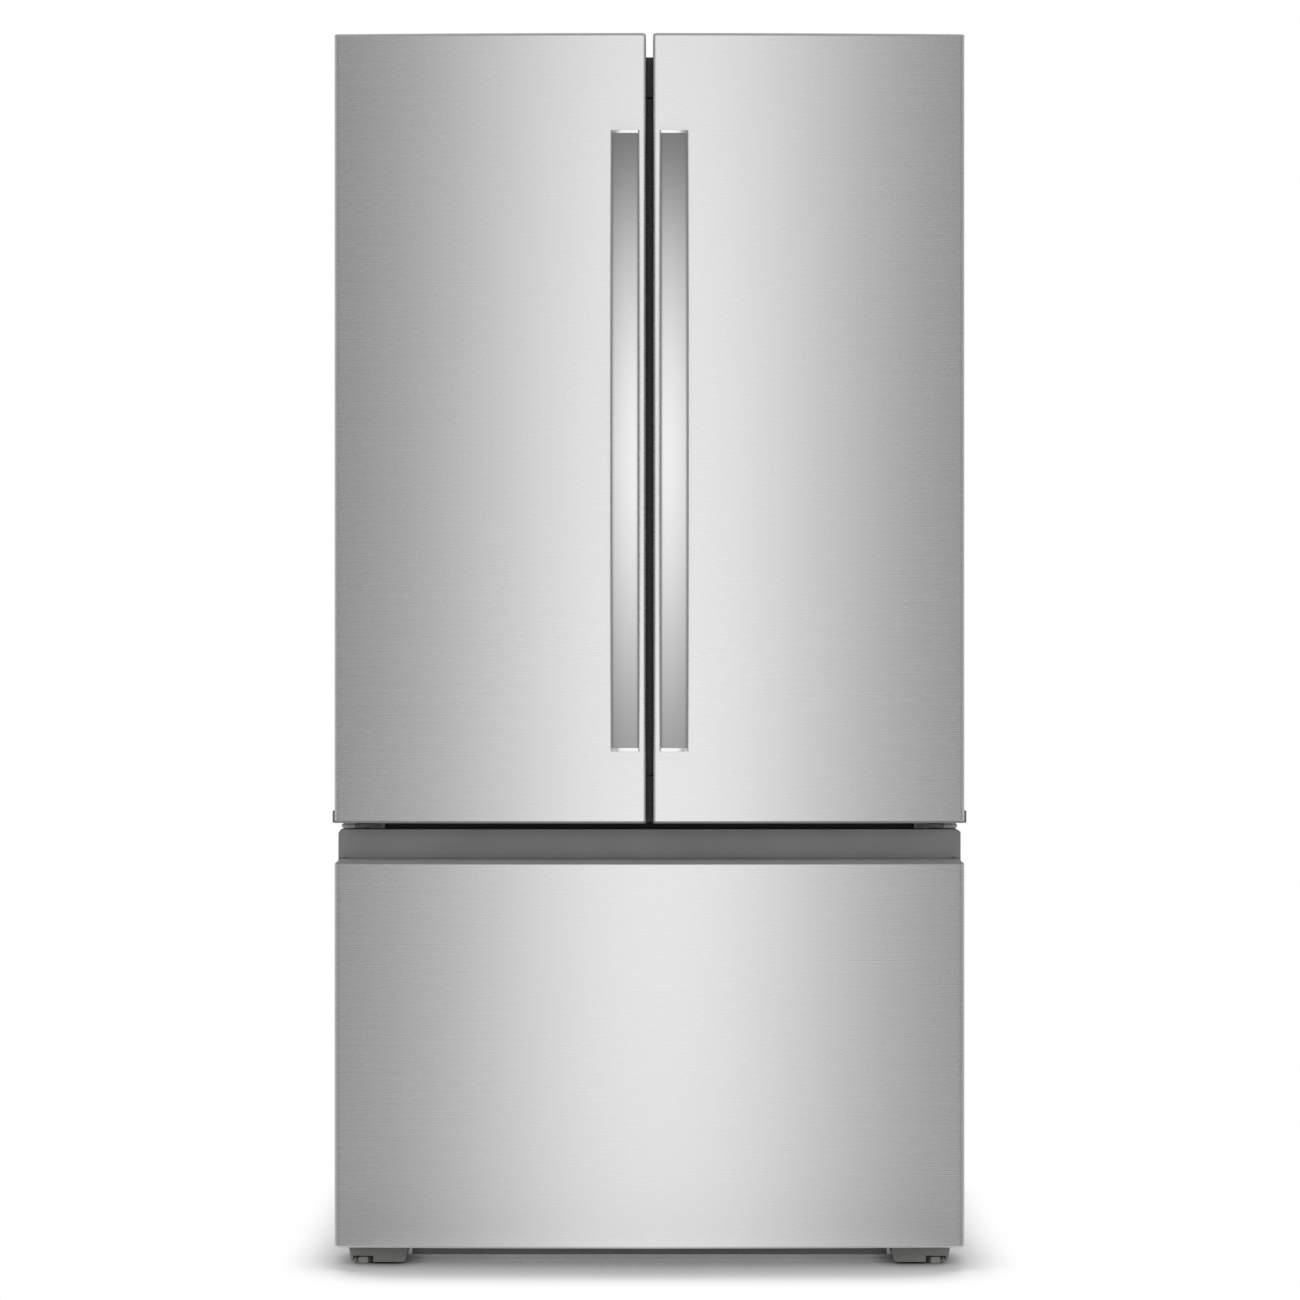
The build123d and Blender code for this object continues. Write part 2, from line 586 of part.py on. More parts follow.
# Left door. Its plan is drawn once; the skin, the caps and the core all follow it.
door_x0 = -front_half
door_x1 = -door_inner
door_plan = plan(door_x0, door_x1, y_door, 0.0, OUTER_EDGE_RADIUS, INNER_EDGE_RADIUS)
core_plan = plan(door_x0, door_x1, y_door, SHEET, OUTER_EDGE_RADIUS, INNER_EDGE_RADIUS)
skin_z0 = door_z0 + BOTTOM_RIM
skin_z1 = door_z1 - TOP_RIM
notch_z0 = case_z1 - NOTCH_CLEAR
notch = block(door_x0 - 1, door_x0 + NOTCH_WIDTH, y_door - NOTCH_DEPTH, y_door + 1, notch_z0, door_z1 + 1)
pin_bore = HINGE_PIN_RADIUS + PIN_CLEAR
bore_length = HINGE_PIN_LENGTH + NOTCH_CLEAR
top_bore = post(-hinge_x, hinge_y, case_z1 - bore_length, door_z1, pin_bore)
bottom_bore = post(-hinge_x, hinge_y, door_z0, door_z0 + bore_length, pin_bore)
door_block = rise(door_plan, skin_z0, skin_z1)

# steel skin: front and sides, folded in behind
left_door_skin = door_block - rise(core_plan, skin_z0, skin_z1)
for x0, x1 in ((door_x0, door_x0 + SKIN_RETURN), (door_x1 - SKIN_RETURN, door_x1)):
    left_door_skin += block(x0, x1, y_door - SHEET, y_door, skin_z0, skin_z1)
left_door_skin -= notch

# inside of the skin, ahead of the liner's plate
core_box = block(door_x0, door_x1, y_edge - FRONT_BOW * 2, y_door - PLASTIC, door_z0, door_z1)
plug_z0 = skin_z1 - TOP_PLUG
plug_z1 = skin_z0 + BOTTOM_PLUG
left_door_core = rise(core_plan, plug_z1, plug_z0) & core_box

# moulded caps close the skin above and below and carry the hinge bores
top_cap = rise(door_plan, skin_z1, door_z1)
rim_edges = top_cap.edges().filter_by_position(Axis.Z, door_z1 - 0.1, door_z1 + 0.1)
top_cap = chamfer(rim_edges, TOP_RIM * 0.5)
top_cap += rise(core_plan, plug_z0, skin_z1) & core_box
top_cap = top_cap - notch - top_bore
bottom_cap = rise(door_plan, door_z0, skin_z0)
bottom_cap += rise(core_plan, skin_z0, plug_z1) & core_box
bottom_cap -= bottom_bore
lip_x1 = door_x0 - LIP_THICK
lip_x0 = lip_x1 - LIP_THICK
lip_y0 = y_edge + LIP_SETBACK
bottom_cap += block(lip_x0, lip_x1, lip_y0, lip_y0 + LIP_LENGTH, door_z0, door_z0 + LIP_HEIGHT)
bottom_cap += block(lip_x0, door_x0 + BOTTOM_RIM, lip_y0, lip_y0 + LIP_LENGTH, door_z0, door_z0 + LIP_THICK)
left_door_caps = parts_of([top_cap, bottom_cap])

# inner liner: a plate with a raised dyke that the bins hang in
dyke_x0 = -cav_half + DYKE_CLEAR
dyke_x1 = -DYKE_CENTRE
dyke_z0 = fridge_z0 + DYKE_CLEAR
dyke_z1 = fridge_z1 - DYKE_CLEAR
left_door_liner = block(door_x0 + SKIN_RETURN, door_x1 - SKIN_RETURN, y_door - PLASTIC, y_door,
                        skin_z0, skin_z1)
left_door_liner -= notch
left_door_liner += block(dyke_x0, dyke_x1, y_door, y_door + DYKE_DEPTH, dyke_z0, dyke_z1)
left_door_liner -= block(dyke_x0 + DYKE_WALL, dyke_x1 - DYKE_WALL, y_door, y_door + DYKE_DEPTH,
                         dyke_z0 + DYKE_WALL, dyke_z1 - DYKE_WALL)
left_door_liner -= top_bore

# magnetic gasket all round the liner
seal_y1 = y_face - RUN_CLEAR
gasket_x0 = door_x0 + GASKET_INSET
gasket_x1 = door_x1 - GASKET_CENTRE
gasket_z0 = door_z0 + GASKET_BOTTOM
gasket_z1 = door_z1 - GASKET_TOP
left_door_gasket = block(gasket_x0, gasket_x1, y_door, seal_y1, gasket_z0, gasket_z1)
left_door_gasket -= block(gasket_x0 + GASKET_WIDTH, gasket_x1 - GASKET_WIDTH, y_door, seal_y1,
                          gasket_z0 + GASKET_WIDTH, gasket_z1 - GASKET_WIDTH)

# bins between the dyke's walls
bins = []
for i in range(BIN_COUNT):
    z0 = door_z0 + BIN_FIRST_RISE + i * BIN_PITCH
    x0 = dyke_x0 + DYKE_WALL
    x1 = dyke_x1 - DYKE_WALL
    tub = block(x0, x1, y_door, y_door + BIN_DEPTH, z0, z0 + BIN_HEIGHT)
    rounded = tub.edges().filter_by(Axis.X).sort_by(Axis.Y)[-2:].sort_by(Axis.Z)[0]
    tub = fillet(rounded, BIN_DEPTH * 0.2)
    tub -= block(x0 + PLASTIC, x1 - PLASTIC, y_door + PLASTIC, y_door + BIN_DEPTH - PLASTIC,
                 z0 + PLASTIC + 6, z0 + BIN_HEIGHT)
    bins.append(tub)
left_door_bins = parts_of(bins)

# handle: one strap on a long arc, thick feet at both ends, cut to the bow of the door
handle_x1 = door_x1 - HANDLE_EDGE_GAP
handle_x0 = handle_x1 - HANDLE_WIDTH
handle_z0 = door_z0 + HANDLE_BOTTOM_RISE
handle_z1 = handle_z0 + HANDLE_LENGTH
handle_zm = (handle_z0 + handle_z1) / 2
handle_end_y = y_crest - HANDLE_END_THICK
handle_seat = y_crest + FRONT_BOW
front_arc = ThreePointArc((handle_x0, handle_end_y, handle_z0), (handle_x0, y_handle, handle_zm),
                          (handle_x0, handle_end_y, handle_z1))
front_closing = Polyline((handle_x0, handle_end_y, handle_z1), (handle_x0, handle_seat, handle_z1),
                         (handle_x0, handle_seat, handle_z0), (handle_x0, handle_end_y, handle_z0))
handle_blank = extrude(make_face(front_arc + front_closing), amount=HANDLE_WIDTH, dir=(1, 0, 0))
handle_blank = chamfer(handle_blank.faces().sort_by(Axis.Y)[0].edges(), HANDLE_EDGE_BEVEL)
back_end_y = handle_end_y + HANDLE_STRAP
back_arc = ThreePointArc((handle_x0, back_end_y, handle_z0),
                         (handle_x0, y_handle + HANDLE_STRAP, handle_zm),
                         (handle_x0, back_end_y, handle_z1))
back_closing = Polyline((handle_x0, back_end_y, handle_z1), (handle_x0, handle_seat, handle_z1),
                        (handle_x0, handle_seat, handle_z0), (handle_x0, back_end_y, handle_z0))
finger_gap = extrude(make_face(back_arc + back_closing), amount=HANDLE_WIDTH, dir=(1, 0, 0))
finger_gap &= block(handle_x0, handle_x1, y_handle, handle_seat,
                    handle_z0 + HANDLE_FOOT, handle_z1 - HANDLE_FOOT)
left_handle = handle_blank - finger_gap - rise(door_plan, door_z0, door_z1)

# Folding mullion: a bar behind the gap, pivoted in two arms on the left door
flipper_y0 = y_face + RUN_CLEAR
flipper_y1 = flipper_y0 + FLIPPER_THICK
pivot_x = -FLIPPER_LEFT + FLIPPER_THICK / 2
pivot_y = (flipper_y0 + flipper_y1) / 2
arm_z0 = fridge_z0 + FLIPPER_END_CLEAR
arm_z1 = fridge_z1 - FLIPPER_END_CLEAR
flipper_z0 = arm_z0 + FLIPPER_ARM + RUN_CLEAR
flipper_z1 = arm_z1 - FLIPPER_ARM - RUN_CLEAR
flipper = block(pivot_x, FLIPPER_RIGHT, flipper_y0, flipper_y1, flipper_z0, flipper_z1)
free_edges = flipper.edges().filter_by(Axis.Z).sort_by(Axis.X)[-2:].sort_by(Axis.Y)
flipper = chamfer(free_edges[-1], FLIPPER_CHAMFER)
flipper += post(pivot_x, pivot_y, flipper_z0, flipper_z1, FLIPPER_THICK / 2)
flipper_bore = FLIPPER_PIN_RADIUS + PIN_CLEAR
bore_depth = FLIPPER_PIN_LENGTH + 2
flipper -= post(pivot_x, pivot_y, flipper_z0, flipper_z0 + bore_depth, flipper_bore)
flipper -= post(pivot_x, pivot_y, flipper_z1 - bore_depth, flipper_z1, flipper_bore)
arm_half = FLIPPER_PIN_RADIUS + 4.0
flipper_arms = []
for z0, z1, pin_z0, pin_z1 in (
    (arm_z0, arm_z0 + FLIPPER_ARM, arm_z0, flipper_z0 + FLIPPER_PIN_LENGTH),
    (arm_z1 - FLIPPER_ARM, arm_z1, flipper_z1 - FLIPPER_PIN_LENGTH, arm_z1),
):
    arm = block(pivot_x - arm_half, pivot_x + arm_half, y_door, pivot_y + arm_half, z0, z1)
    arm = chamfer(arm.edges().filter_by(Axis.Z).sort_by(Axis.Y)[-2:], arm_half * 0.6)
    arm += post(pivot_x, pivot_y, pin_z0, pin_z1, FLIPPER_PIN_RADIUS)
    flipper_arms.append(arm)
flipper_hinges = parts_of(flipper_arms)

# its guide under the front of the ceiling, with a face in front of the case's top return
guide_half = 24.0
guide_front = 5.0
flipper_guide = block(-guide_half, guide_half, y_face, y_face + 40, arm_z1 + 1, fridge_z1)
nose_half = door_inner + 3.0
flipper_guide += block(-nose_half, nose_half, y_face - guide_front, y_face, arm_z1 + 1, case_z1)
flipper_guide -= block(-guide_half * 0.5, guide_half * 0.5, y_face + 15, y_face + 37,
                       arm_z1 + 1, arm_z1 + 5)

# Right door: the left one's pieces, mirrored
right_door_skin = mirrored(left_door_skin)
right_door_core = mirrored(left_door_core)
right_door_caps = parts_of([mirrored(top_cap), mirrored(bottom_cap)])
right_door_liner = mirrored(left_door_liner)
right_door_gasket = mirrored(left_door_gasket)
right_door_bins = parts_of([mirrored(b) for b in bins])
right_handle = mirrored(left_handle)

# Freezer drawer front: a bowed steel tub with a folded bottom
drawer_plan = plan(-front_half, front_half, y_door, 0.0, OUTER_EDGE_RADIUS, OUTER_EDGE_RADIUS)
drawer_core_plan = plan(-front_half, front_half, y_door, SHEET, OUTER_EDGE_RADIUS, OUTER_EDGE_RADIUS)
drawer_skin = rise(drawer_plan, drawer_z0, steel_z1)
low_edges = drawer_skin.edges().filter_by_position(Axis.Z, drawer_z0 - 0.1, drawer_z0 + 0.1)
drawer_skin = chamfer(low_edges.sort_by(Axis.Y)[:-1], DRAWER_EDGE_RADIUS * 0.7)
drawer_skin -= rise(drawer_core_plan, drawer_z0 + DRAWER_EDGE_RADIUS, steel_z1)
for x0, x1 in ((-front_half, -front_half + SKIN_RETURN), (front_half - SKIN_RETURN, front_half)):
    drawer_skin += block(x0, x1, y_door - SHEET, y_door, drawer_z0 + DRAWER_EDGE_RADIUS, steel_z1)

# grip: a dark channel along the drawer's top edge, with a bevelled lip, a finger trough and a
# back wall
lip_z = steel_z1 + GRIP_BEVEL_RISE
grip_y = y_edge + GRIP_SETBACK
grip_rear = y_door - PLASTIC
trough_z0 = lip_z - GRIP_TROUGH
tub_z0 = trough_z0 - GRIP_WALL
trough_y0 = y_edge + GRIP_LIP
band_half = front_half - SHEET
lip_rear = y_door + GRIP_BEVEL_DEPTH * 2
lip_plan = plan(-front_half, front_half, lip_rear, 0.0, OUTER_EDGE_RADIUS, OUTER_EDGE_RADIUS)
bevel_angle = math.degrees(math.atan2(GRIP_BEVEL_DEPTH, GRIP_BEVEL_RISE))
drawer_grip = Pos(0, 0, steel_z1) * extrude(lip_plan, amount=GRIP_BEVEL_RISE, taper=bevel_angle)
drawer_grip -= block(-front_half, front_half, grip_rear, y_back, steel_z1, lip_z)
drawer_grip += block(-band_half, band_half, grip_y, grip_rear, steel_z1, grip_z1)
drawer_grip += block(-band_half, band_half, trough_y0 - GRIP_WALL, grip_rear, tub_z0, steel_z1)
trough_half = front_half - GRIP_END_WALL
drawer_grip -= block(-trough_half, trough_half, trough_y0, grip_y, trough_z0, grip_z1)
band_top = drawer_grip.edges().filter_by_position(Axis.Z, grip_z1 - 0.1, grip_z1 + 0.1)
band_corners = band_top.filter_by(Axis.Y)
drawer_grip = chamfer(band_corners, GRIP_CORNER, GRIP_CORNER * 0.7)

# foam core behind the steel, cut for the grip's tub
drawer_core = rise(drawer_core_plan, drawer_z0 + DRAWER_EDGE_RADIUS, steel_z1)
drawer_core -= block(-front_half, front_half, y_door - PLASTIC, y_door, drawer_z0, steel_z1)
drawer_core -= block(-front_half, front_half, trough_y0 - GRIP_WALL, y_door, tub_z0, steel_z1)

# inner panel and gasket of the drawer
drawer_liner = block(-front_half + SKIN_RETURN, front_half - SKIN_RETURN, y_door - PLASTIC, y_door,
                     drawer_z0 + DRAWER_EDGE_RADIUS, grip_z1 - GRIP_CORNER)
drawer_gasket_z0 = case_z0 + GASKET_INSET
drawer_gasket_z1 = grip_z1 - DRAWER_GASKET_TOP
seal_x = front_half - GASKET_INSET
drawer_gasket = block(-seal_x, seal_x, y_door, seal_y1, drawer_gasket_z0, drawer_gasket_z1)
drawer_gasket -= block(-seal_x + GASKET_WIDTH, seal_x - GASKET_WIDTH, y_door, seal_y1,
                       drawer_gasket_z0 + GASKET_WIDTH, drawer_gasket_z1 - GASKET_WIDTH)

# Telescopic slides: a channel on the liner, a middle bar that moves half as far, and the
# drawer's own bar
slide_z0 = step_z + SLIDE_STEP_CLEAR
slide_z1 = slide_z0 + SLIDE_HEIGHT
slide_y0 = y_face + SLIDE_SETBACK
slide_y1 = slide_y0 + SLIDE_LENGTH
web_x = cav_half - 1.5
middle_x1 = web_x - SLIDE_CLEAR
middle_x0 = middle_x1 - SLIDE_BAR
bar_x1 = middle_x0 - SLIDE_CLEAR
bar_x0 = bar_x1 - SLIDE_BAR
flange = 2.0


def left_and_right(make):
    return parts_of([make(-1), make(1)])


def slide_channel(side):
    channel = block(side * web_x, side * cav_half, slide_y0, slide_y1, slide_z0, slide_z1)
    channel += block(side * middle_x0, side * cav_half, slide_y0, slide_y1, slide_z0, slide_z0 + flange)
    channel += block(side * middle_x0, side * cav_half, slide_y0, slide_y1, slide_z1 - flange, slide_z1)
    return channel


def middle_bar(side):
    return block(side * middle_x0, side * middle_x1, slide_y0, slide_y1,
                 slide_z0 + flange + SLIDE_CLEAR, slide_z1 - flange - SLIDE_CLEAR)


def drawer_bar(side):
    z0 = slide_z0 + flange + SLIDE_CLEAR
    z1 = slide_z1 - flange - SLIDE_CLEAR
    bar = block(side * bar_x0, side * bar_x1, y_door, slide_y1, z0, z1)
    foot = block(side * (bar_x0 - 30), side * bar_x1, y_door, y_door + 2, z0 - 20, z1)
    return bar + foot


freezer_slides = left_and_right(slide_channel)
slide_middles = left_and_right(middle_bar)
drawer_rails = left_and_right(drawer_bar)

# Lower basket: a deep tub that hangs by its rim on the drawer's bars
rim_z0 = slide_z1 - flange - SLIDE_CLEAR
rim_z1 = rim_z0 + BASKET_RIM
basket_half = bar_x0 - SLIDE_CLEAR - 1
basket_y0 = y_door + 4
basket_y1 = step_y - BASKET_REAR_CLEAR
basket_z0 = freezer_z0 + BASKET_FLOOR_CLEAR
drawer_basket = block(-basket_half, basket_half, basket_y0, basket_y1, basket_z0, rim_z1)
low = drawer_basket.edges().filter_by(Axis.X).sort_by(Axis.Z)[:2]
drawer_basket = fillet(low, BASKET_FLOOR_CLEAR)
drawer_basket += block(-bar_x1, bar_x1, basket_y0, basket_y1, rim_z0, rim_z1)
drawer_basket -= block(-basket_half + BASKET_WALL, basket_half - BASKET_WALL, basket_y0 + BASKET_WALL,
                       basket_y1 - BASKET_WALL, basket_z0 + BASKET_WALL + 4, rim_z1)

# Upper tray: slides back along the basket's rim
tray_half = bar_x1 - SLIDE_CLEAR
tray_y0 = basket_y0 + 6
tray_y1 = tray_y0 + TRAY_DEPTH
tray_z0 = rim_z1 + RUN_CLEAR
freezer_tray = block(-tray_half, tray_half, tray_y0, tray_y1, tray_z0, tray_z0 + TRAY_HEIGHT)
freezer_tray -= block(-tray_half + TRAY_WALL, tray_half - TRAY_WALL, tray_y0 + TRAY_WALL,
                      tray_y1 - TRAY_WALL, tray_z0 + TRAY_WALL, tray_z0 + TRAY_HEIGHT)

# Shelf tracks: slotted steel strips up the refrigerator's rear wall
track_z0 = cover_z0 + SHELF_RIM_HEIGHT + 20
track_z1 = fridge_z1 - 20
track_y0 = cav_back - TRACK_THICK
track_xs = [-cav_half + TRACK_INSET, -TRACK_CENTRE, TRACK_CENTRE, cav_half - TRACK_INSET]
slot_pitch = (track_z1 - track_z0) / TRACK_SLOTS
tracks = []
for x in track_xs:
    strip = block(x - TRACK_WIDTH / 2, x + TRACK_WIDTH / 2, track_y0, cav_back, track_z0, track_z1)
    for i in range(TRACK_SLOTS):
        z = track_z0 + (i + 0.3) * slot_pitch
        strip -= block(x - 2.2, x + 2.2, track_y0, cav_back, z, z + slot_pitch * 0.4)
    tracks.append(strip)
shelf_tracks = parts_of(tracks)


def shelf_frame(x0, x1, y1, z0):
    """A moulded rim with a seat for its glass, open in the middle."""
    ring = block(x0, x1, shelf_y0, y1, z0, z0 + SHELF_RIM_HEIGHT)
    ring -= block(x0 + SHELF_RIM, x1 - SHELF_RIM, shelf_y0 + SHELF_RIM, y1 - SHELF_RIM,
                  z0, z0 + SHELF_RIM_HEIGHT)
    seat = SHELF_RIM / 2
    ring -= block(x0 + seat, x1 - seat, shelf_y0 + seat, y1 - seat,
                  z0 + SHELF_RIM_HEIGHT - GLASS, z0 + SHELF_RIM_HEIGHT)
    return ring


def shelf_pane(x0, x1, y1, z0):
    seat = SHELF_RIM / 2
    return block(x0 + seat, x1 - seat, shelf_y0 + seat, y1 - seat,
                 z0 + SHELF_RIM_HEIGHT - GLASS, z0 + SHELF_RIM_HEIGHT)


# Half-width shelves on brackets hooked into the tracks, and the full-width crisper cover
shelf_y1 = cav_back - DUCT_THICK - PLASTIC
frames = [shelf_frame(-cav_half + 1, cav_half - 1, cav_back, cover_z0)]
panes = [shelf_pane(-cav_half + 1, cav_half - 1, cav_back, cover_z0)]
for row in range(SHELF_ROWS):
    z0 = fridge_z0 + SHELF_FIRST_RISE + row * SHELF_PITCH
    for side in (-1, 1):
        x0 = min(side * SHELF_SIDE_CLEAR, side * (cav_half - SHELF_SIDE_CLEAR))
        x1 = max(side * SHELF_SIDE_CLEAR, side * (cav_half - SHELF_SIDE_CLEAR))
        rack = shelf_frame(x0, x1, shelf_y1, z0)
        for x in (side * TRACK_CENTRE, side * (cav_half - TRACK_INSET)):
            gusset = [(shelf_y0 + SHELF_RIM * 0.4, z0), (shelf_y1, z0), (shelf_y1, z0 + SHELF_ARM),
                      (track_y0, z0 + SHELF_ARM), (track_y0, z0 - SHELF_ARM_HEIGHT)]
            rack += profile_x(gusset, x - SHELF_ARM / 2, x + SHELF_ARM / 2)
        frames.append(rack)
        panes.append(shelf_pane(x0, x1, shelf_y1, z0))
shelf_frames = parts_of(frames)
shelf_glass = parts_of(panes)

# Air duct up the middle of the rear wall, with its outlets
air_duct = block(-DUCT_WIDTH / 2, DUCT_WIDTH / 2, cav_back - DUCT_THICK, cav_back, track_z0, track_z1)
duct_front = air_duct.edges().filter_by(Axis.Z).sort_by(Axis.Y)[:2]
air_duct = fillet(duct_front, DUCT_THICK * 0.4)
for i in range(4):
    z = track_z0 + (i + 0.6) * (track_z1 - track_z0) / 4
    air_duct -= block(-DUCT_WIDTH * 0.3, DUCT_WIDTH * 0.3, cav_back - DUCT_THICK,
                      cav_back - DUCT_THICK * 0.5, z, z + 10)

# Ceiling light lens and control panel
light_y0 = y_face + CRISPER_SETBACK + 60
ceiling_light = block(-LIGHT_WIDTH / 2, LIGHT_WIDTH / 2, light_y0, light_y0 + LIGHT_LENGTH,
                      fridge_z1 - LIGHT_HEIGHT, fridge_z1)
ceiling_light = fillet(ceiling_light.faces().sort_by(Axis.Z)[0].edges(), LIGHT_HEIGHT * 0.5)
panel_y0 = light_y0 - PANEL_LENGTH - 20
control_panel = profile_x(
    [(panel_y0, fridge_z1), (panel_y0, fridge_z1 - PANEL_HEIGHT * 0.4),
     (panel_y0 + PANEL_LENGTH * 0.3, fridge_z1 - PANEL_HEIGHT),
     (panel_y0 + PANEL_LENGTH, fridge_z1 - PANEL_HEIGHT), (panel_y0 + PANEL_LENGTH, fridge_z1)],
    -PANEL_WIDTH / 2, PANEL_WIDTH / 2)


# Crispers: clear tubs on the refrigerator's floor, each with a pull along its top edge
def crisper(side):
    x0 = min(side * CRISPER_CENTRE_CLEAR, side * (cav_half - CRISPER_SIDE_CLEAR))
    x1 = max(side * CRISPER_CENTRE_CLEAR, side * (cav_half - CRISPER_SIDE_CLEAR))
    y0 = y_face + CRISPER_SETBACK
    y1 = cav_back - CRISPER_REAR_CLEAR
    z0 = fridge_z0 + RUN_CLEAR
    z1 = z0 + CRISPER_HEIGHT
    tub = block(x0, x1, y0, y1, z0, z1)
    tub = fillet(tub.edges().filter_by(Axis.X).sort_by(Axis.Z)[:2], CRISPER_PULL)
    pull = block(x0, x1, y0 - CRISPER_PULL, y0, z1 - CRISPER_PULL, z1)
    pull -= block(x0 + PLASTIC, x1 - PLASTIC, y0 - CRISPER_PULL + PLASTIC, y0,
                  z1 - CRISPER_PULL, z1 - PLASTIC)
    tub += pull
    return tub - block(x0 + PLASTIC, x1 - PLASTIC, y0 + PLASTIC, y1 - PLASTIC, z0 + PLASTIC * 2, z1)


left_crisper = crisper(-1)
right_crisper = crisper(1)


# Foot covers at the front corners, each open round its levelling leg
leg_x = front_half - LEG_INSET
leg_y = y_face - FOOT_COVER_FRONT + LEG_PAD_RADIUS + LEG_PAD_ROOM * 2
foot_y0 = y_face - FOOT_COVER_FRONT
foot_x0 = -front_half + FOOT_COVER_INSET
foot_x1 = foot_x0 + FOOT_COVER_WIDTH
foot_top = drawer_z0 - FOOT_COVER_CLEAR
outline = Polyline((foot_x0, foot_y0, foot_top), (foot_x1, foot_y0, foot_top),
                   (foot_x1 - FOOT_COVER_TAPER, foot_y0, FOOT_COVER_CLEAR),
                   (foot_x0 + FOOT_COVER_TAPER, foot_y0, FOOT_COVER_CLEAR), close=True)
left_foot_cover = extrude(make_face(outline), amount=FOOT_COVER_LENGTH, dir=(0, 1, 0))
low_corners = left_foot_cover.edges().filter_by(Axis.Y).sort_by(Axis.Z)[:2]
left_foot_cover = fillet(low_corners, FOOT_COVER_CORNER)
left_foot_cover += block(foot_x0 + FOOT_COVER_TAPER, foot_x1 - FOOT_COVER_TAPER, y_face + SHEET,
                         foot_y0 + FOOT_COVER_LENGTH, foot_top, case_z0)
pad_room = LEG_PAD_RADIUS + LEG_PAD_ROOM
left_foot_cover -= block(-leg_x - pad_room, -leg_x + pad_room, foot_y0, leg_y + pad_room, 0,
                         LEG_PAD_HEIGHT + FOOT_COVER_CLEAR)
stem_room = LEG_STEM_RADIUS + PIN_CLEAR
left_foot_cover -= block(-leg_x - stem_room, -leg_x + stem_room, leg_y - stem_room, leg_y + stem_room,
                         0, foot_top)
foot_covers = parts_of([left_foot_cover, mirrored(left_foot_cover)])


def leveling_leg(x):
    pad = extrude(Pos(x, leg_y) * RegularPolygon(LEG_PAD_RADIUS, 6), amount=LEG_PAD_HEIGHT, dir=(0, 0, 1))
    return pad + post(x, leg_y, LEG_PAD_HEIGHT, foot_top - 1, LEG_STEM_RADIUS)


left_leveling_leg = leveling_leg(-leg_x)
right_leveling_leg = leveling_leg(leg_x)


def rear_roller(x):
    x0 = x - ROLLER_WIDTH / 2
    x1 = x + ROLLER_WIDTH / 2
    wheel = rod_x(x0, x1, roller_y, ROLLER_RADIUS, ROLLER_RADIUS)
    bore = Pos(x0, roller_y, ROLLER_RADIUS) * Rot(0, 90, 0)
    bore *= RegularPolygon(AXLE_RADIUS + PIN_CLEAR, 12, major_radius=False)
    return wheel - extrude(bore, amount=ROLLER_WIDTH, dir=(1, 0, 0))


left_rear_roller = rear_roller(-roller_x)
right_rear_roller = rear_roller(roller_x)

nodes = {
    "outer_case": outer_case,
    "back_panel": back_panel,
    "insulation": insulation,
    "fridge_liner": fridge_liner,
    "freezer_liner": freezer_liner,
    "center_rail": center_rail,
    "base_pan": base_pan,
    "rear_cover": rear_cover,
    "cord_grommet": cord_grommet,
    "compressor": compressor,
    "drain_pan": drain_pan,
    "condenser": condenser,
    "condenser_fan": condenser_fan,
    "evaporator": evaporator,
    "evaporator_cover": evaporator_cover,
    "evaporator_fan": evaporator_fan,
    "fan_motors": fan_motors,
    "top_hinges": top_hinges,
    "hinge_covers": hinge_covers,
    "center_hinges": center_hinges,
    "left_door_skin": left_door_skin,
    "left_door_core": left_door_core,
    "left_door_caps": left_door_caps,
    "left_door_liner": left_door_liner,
    "left_door_gasket": left_door_gasket,
    "left_door_bins": left_door_bins,
    "left_handle": left_handle,
    "flipper": flipper,
    "flipper_hinges": flipper_hinges,
    "flipper_guide": flipper_guide,
    "right_door_skin": right_door_skin,
    "right_door_core": right_door_core,
    "right_door_caps": right_door_caps,
    "right_door_liner": right_door_liner,
    "right_door_gasket": right_door_gasket,
    "right_door_bins": right_door_bins,
    "right_handle": right_handle,
    "drawer_skin": drawer_skin,
    "drawer_grip": drawer_grip,
    "drawer_core": drawer_core,
    "drawer_liner": drawer_liner,
    "drawer_gasket": drawer_gasket,
    "drawer_rails": drawer_rails,
    "drawer_basket": drawer_basket,
    "freezer_tray": freezer_tray,
    "freezer_slides": freezer_slides,
    "slide_middles": slide_middles,
    "shelf_tracks": shelf_tracks,
    "shelf_frames": shelf_frames,
    "shelf_glass": shelf_glass,
    "air_duct": air_duct,
    "ceiling_light": ceiling_light,
    "control_panel": control_panel,
    "left_crisper": left_crisper,
    "right_crisper": right_crisper,
    "foot_covers": foot_covers,
    "left_leveling_leg": left_leveling_leg,
    "right_leveling_leg": right_leveling_leg,
    "left_rear_roller": left_rear_roller,
    "right_rear_roller": right_rear_roller,
}

os.makedirs("parts", exist_ok=True)
for name, shape in nodes.items():
    export_step(shape, os.path.join("parts", name + ".step"))
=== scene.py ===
import math

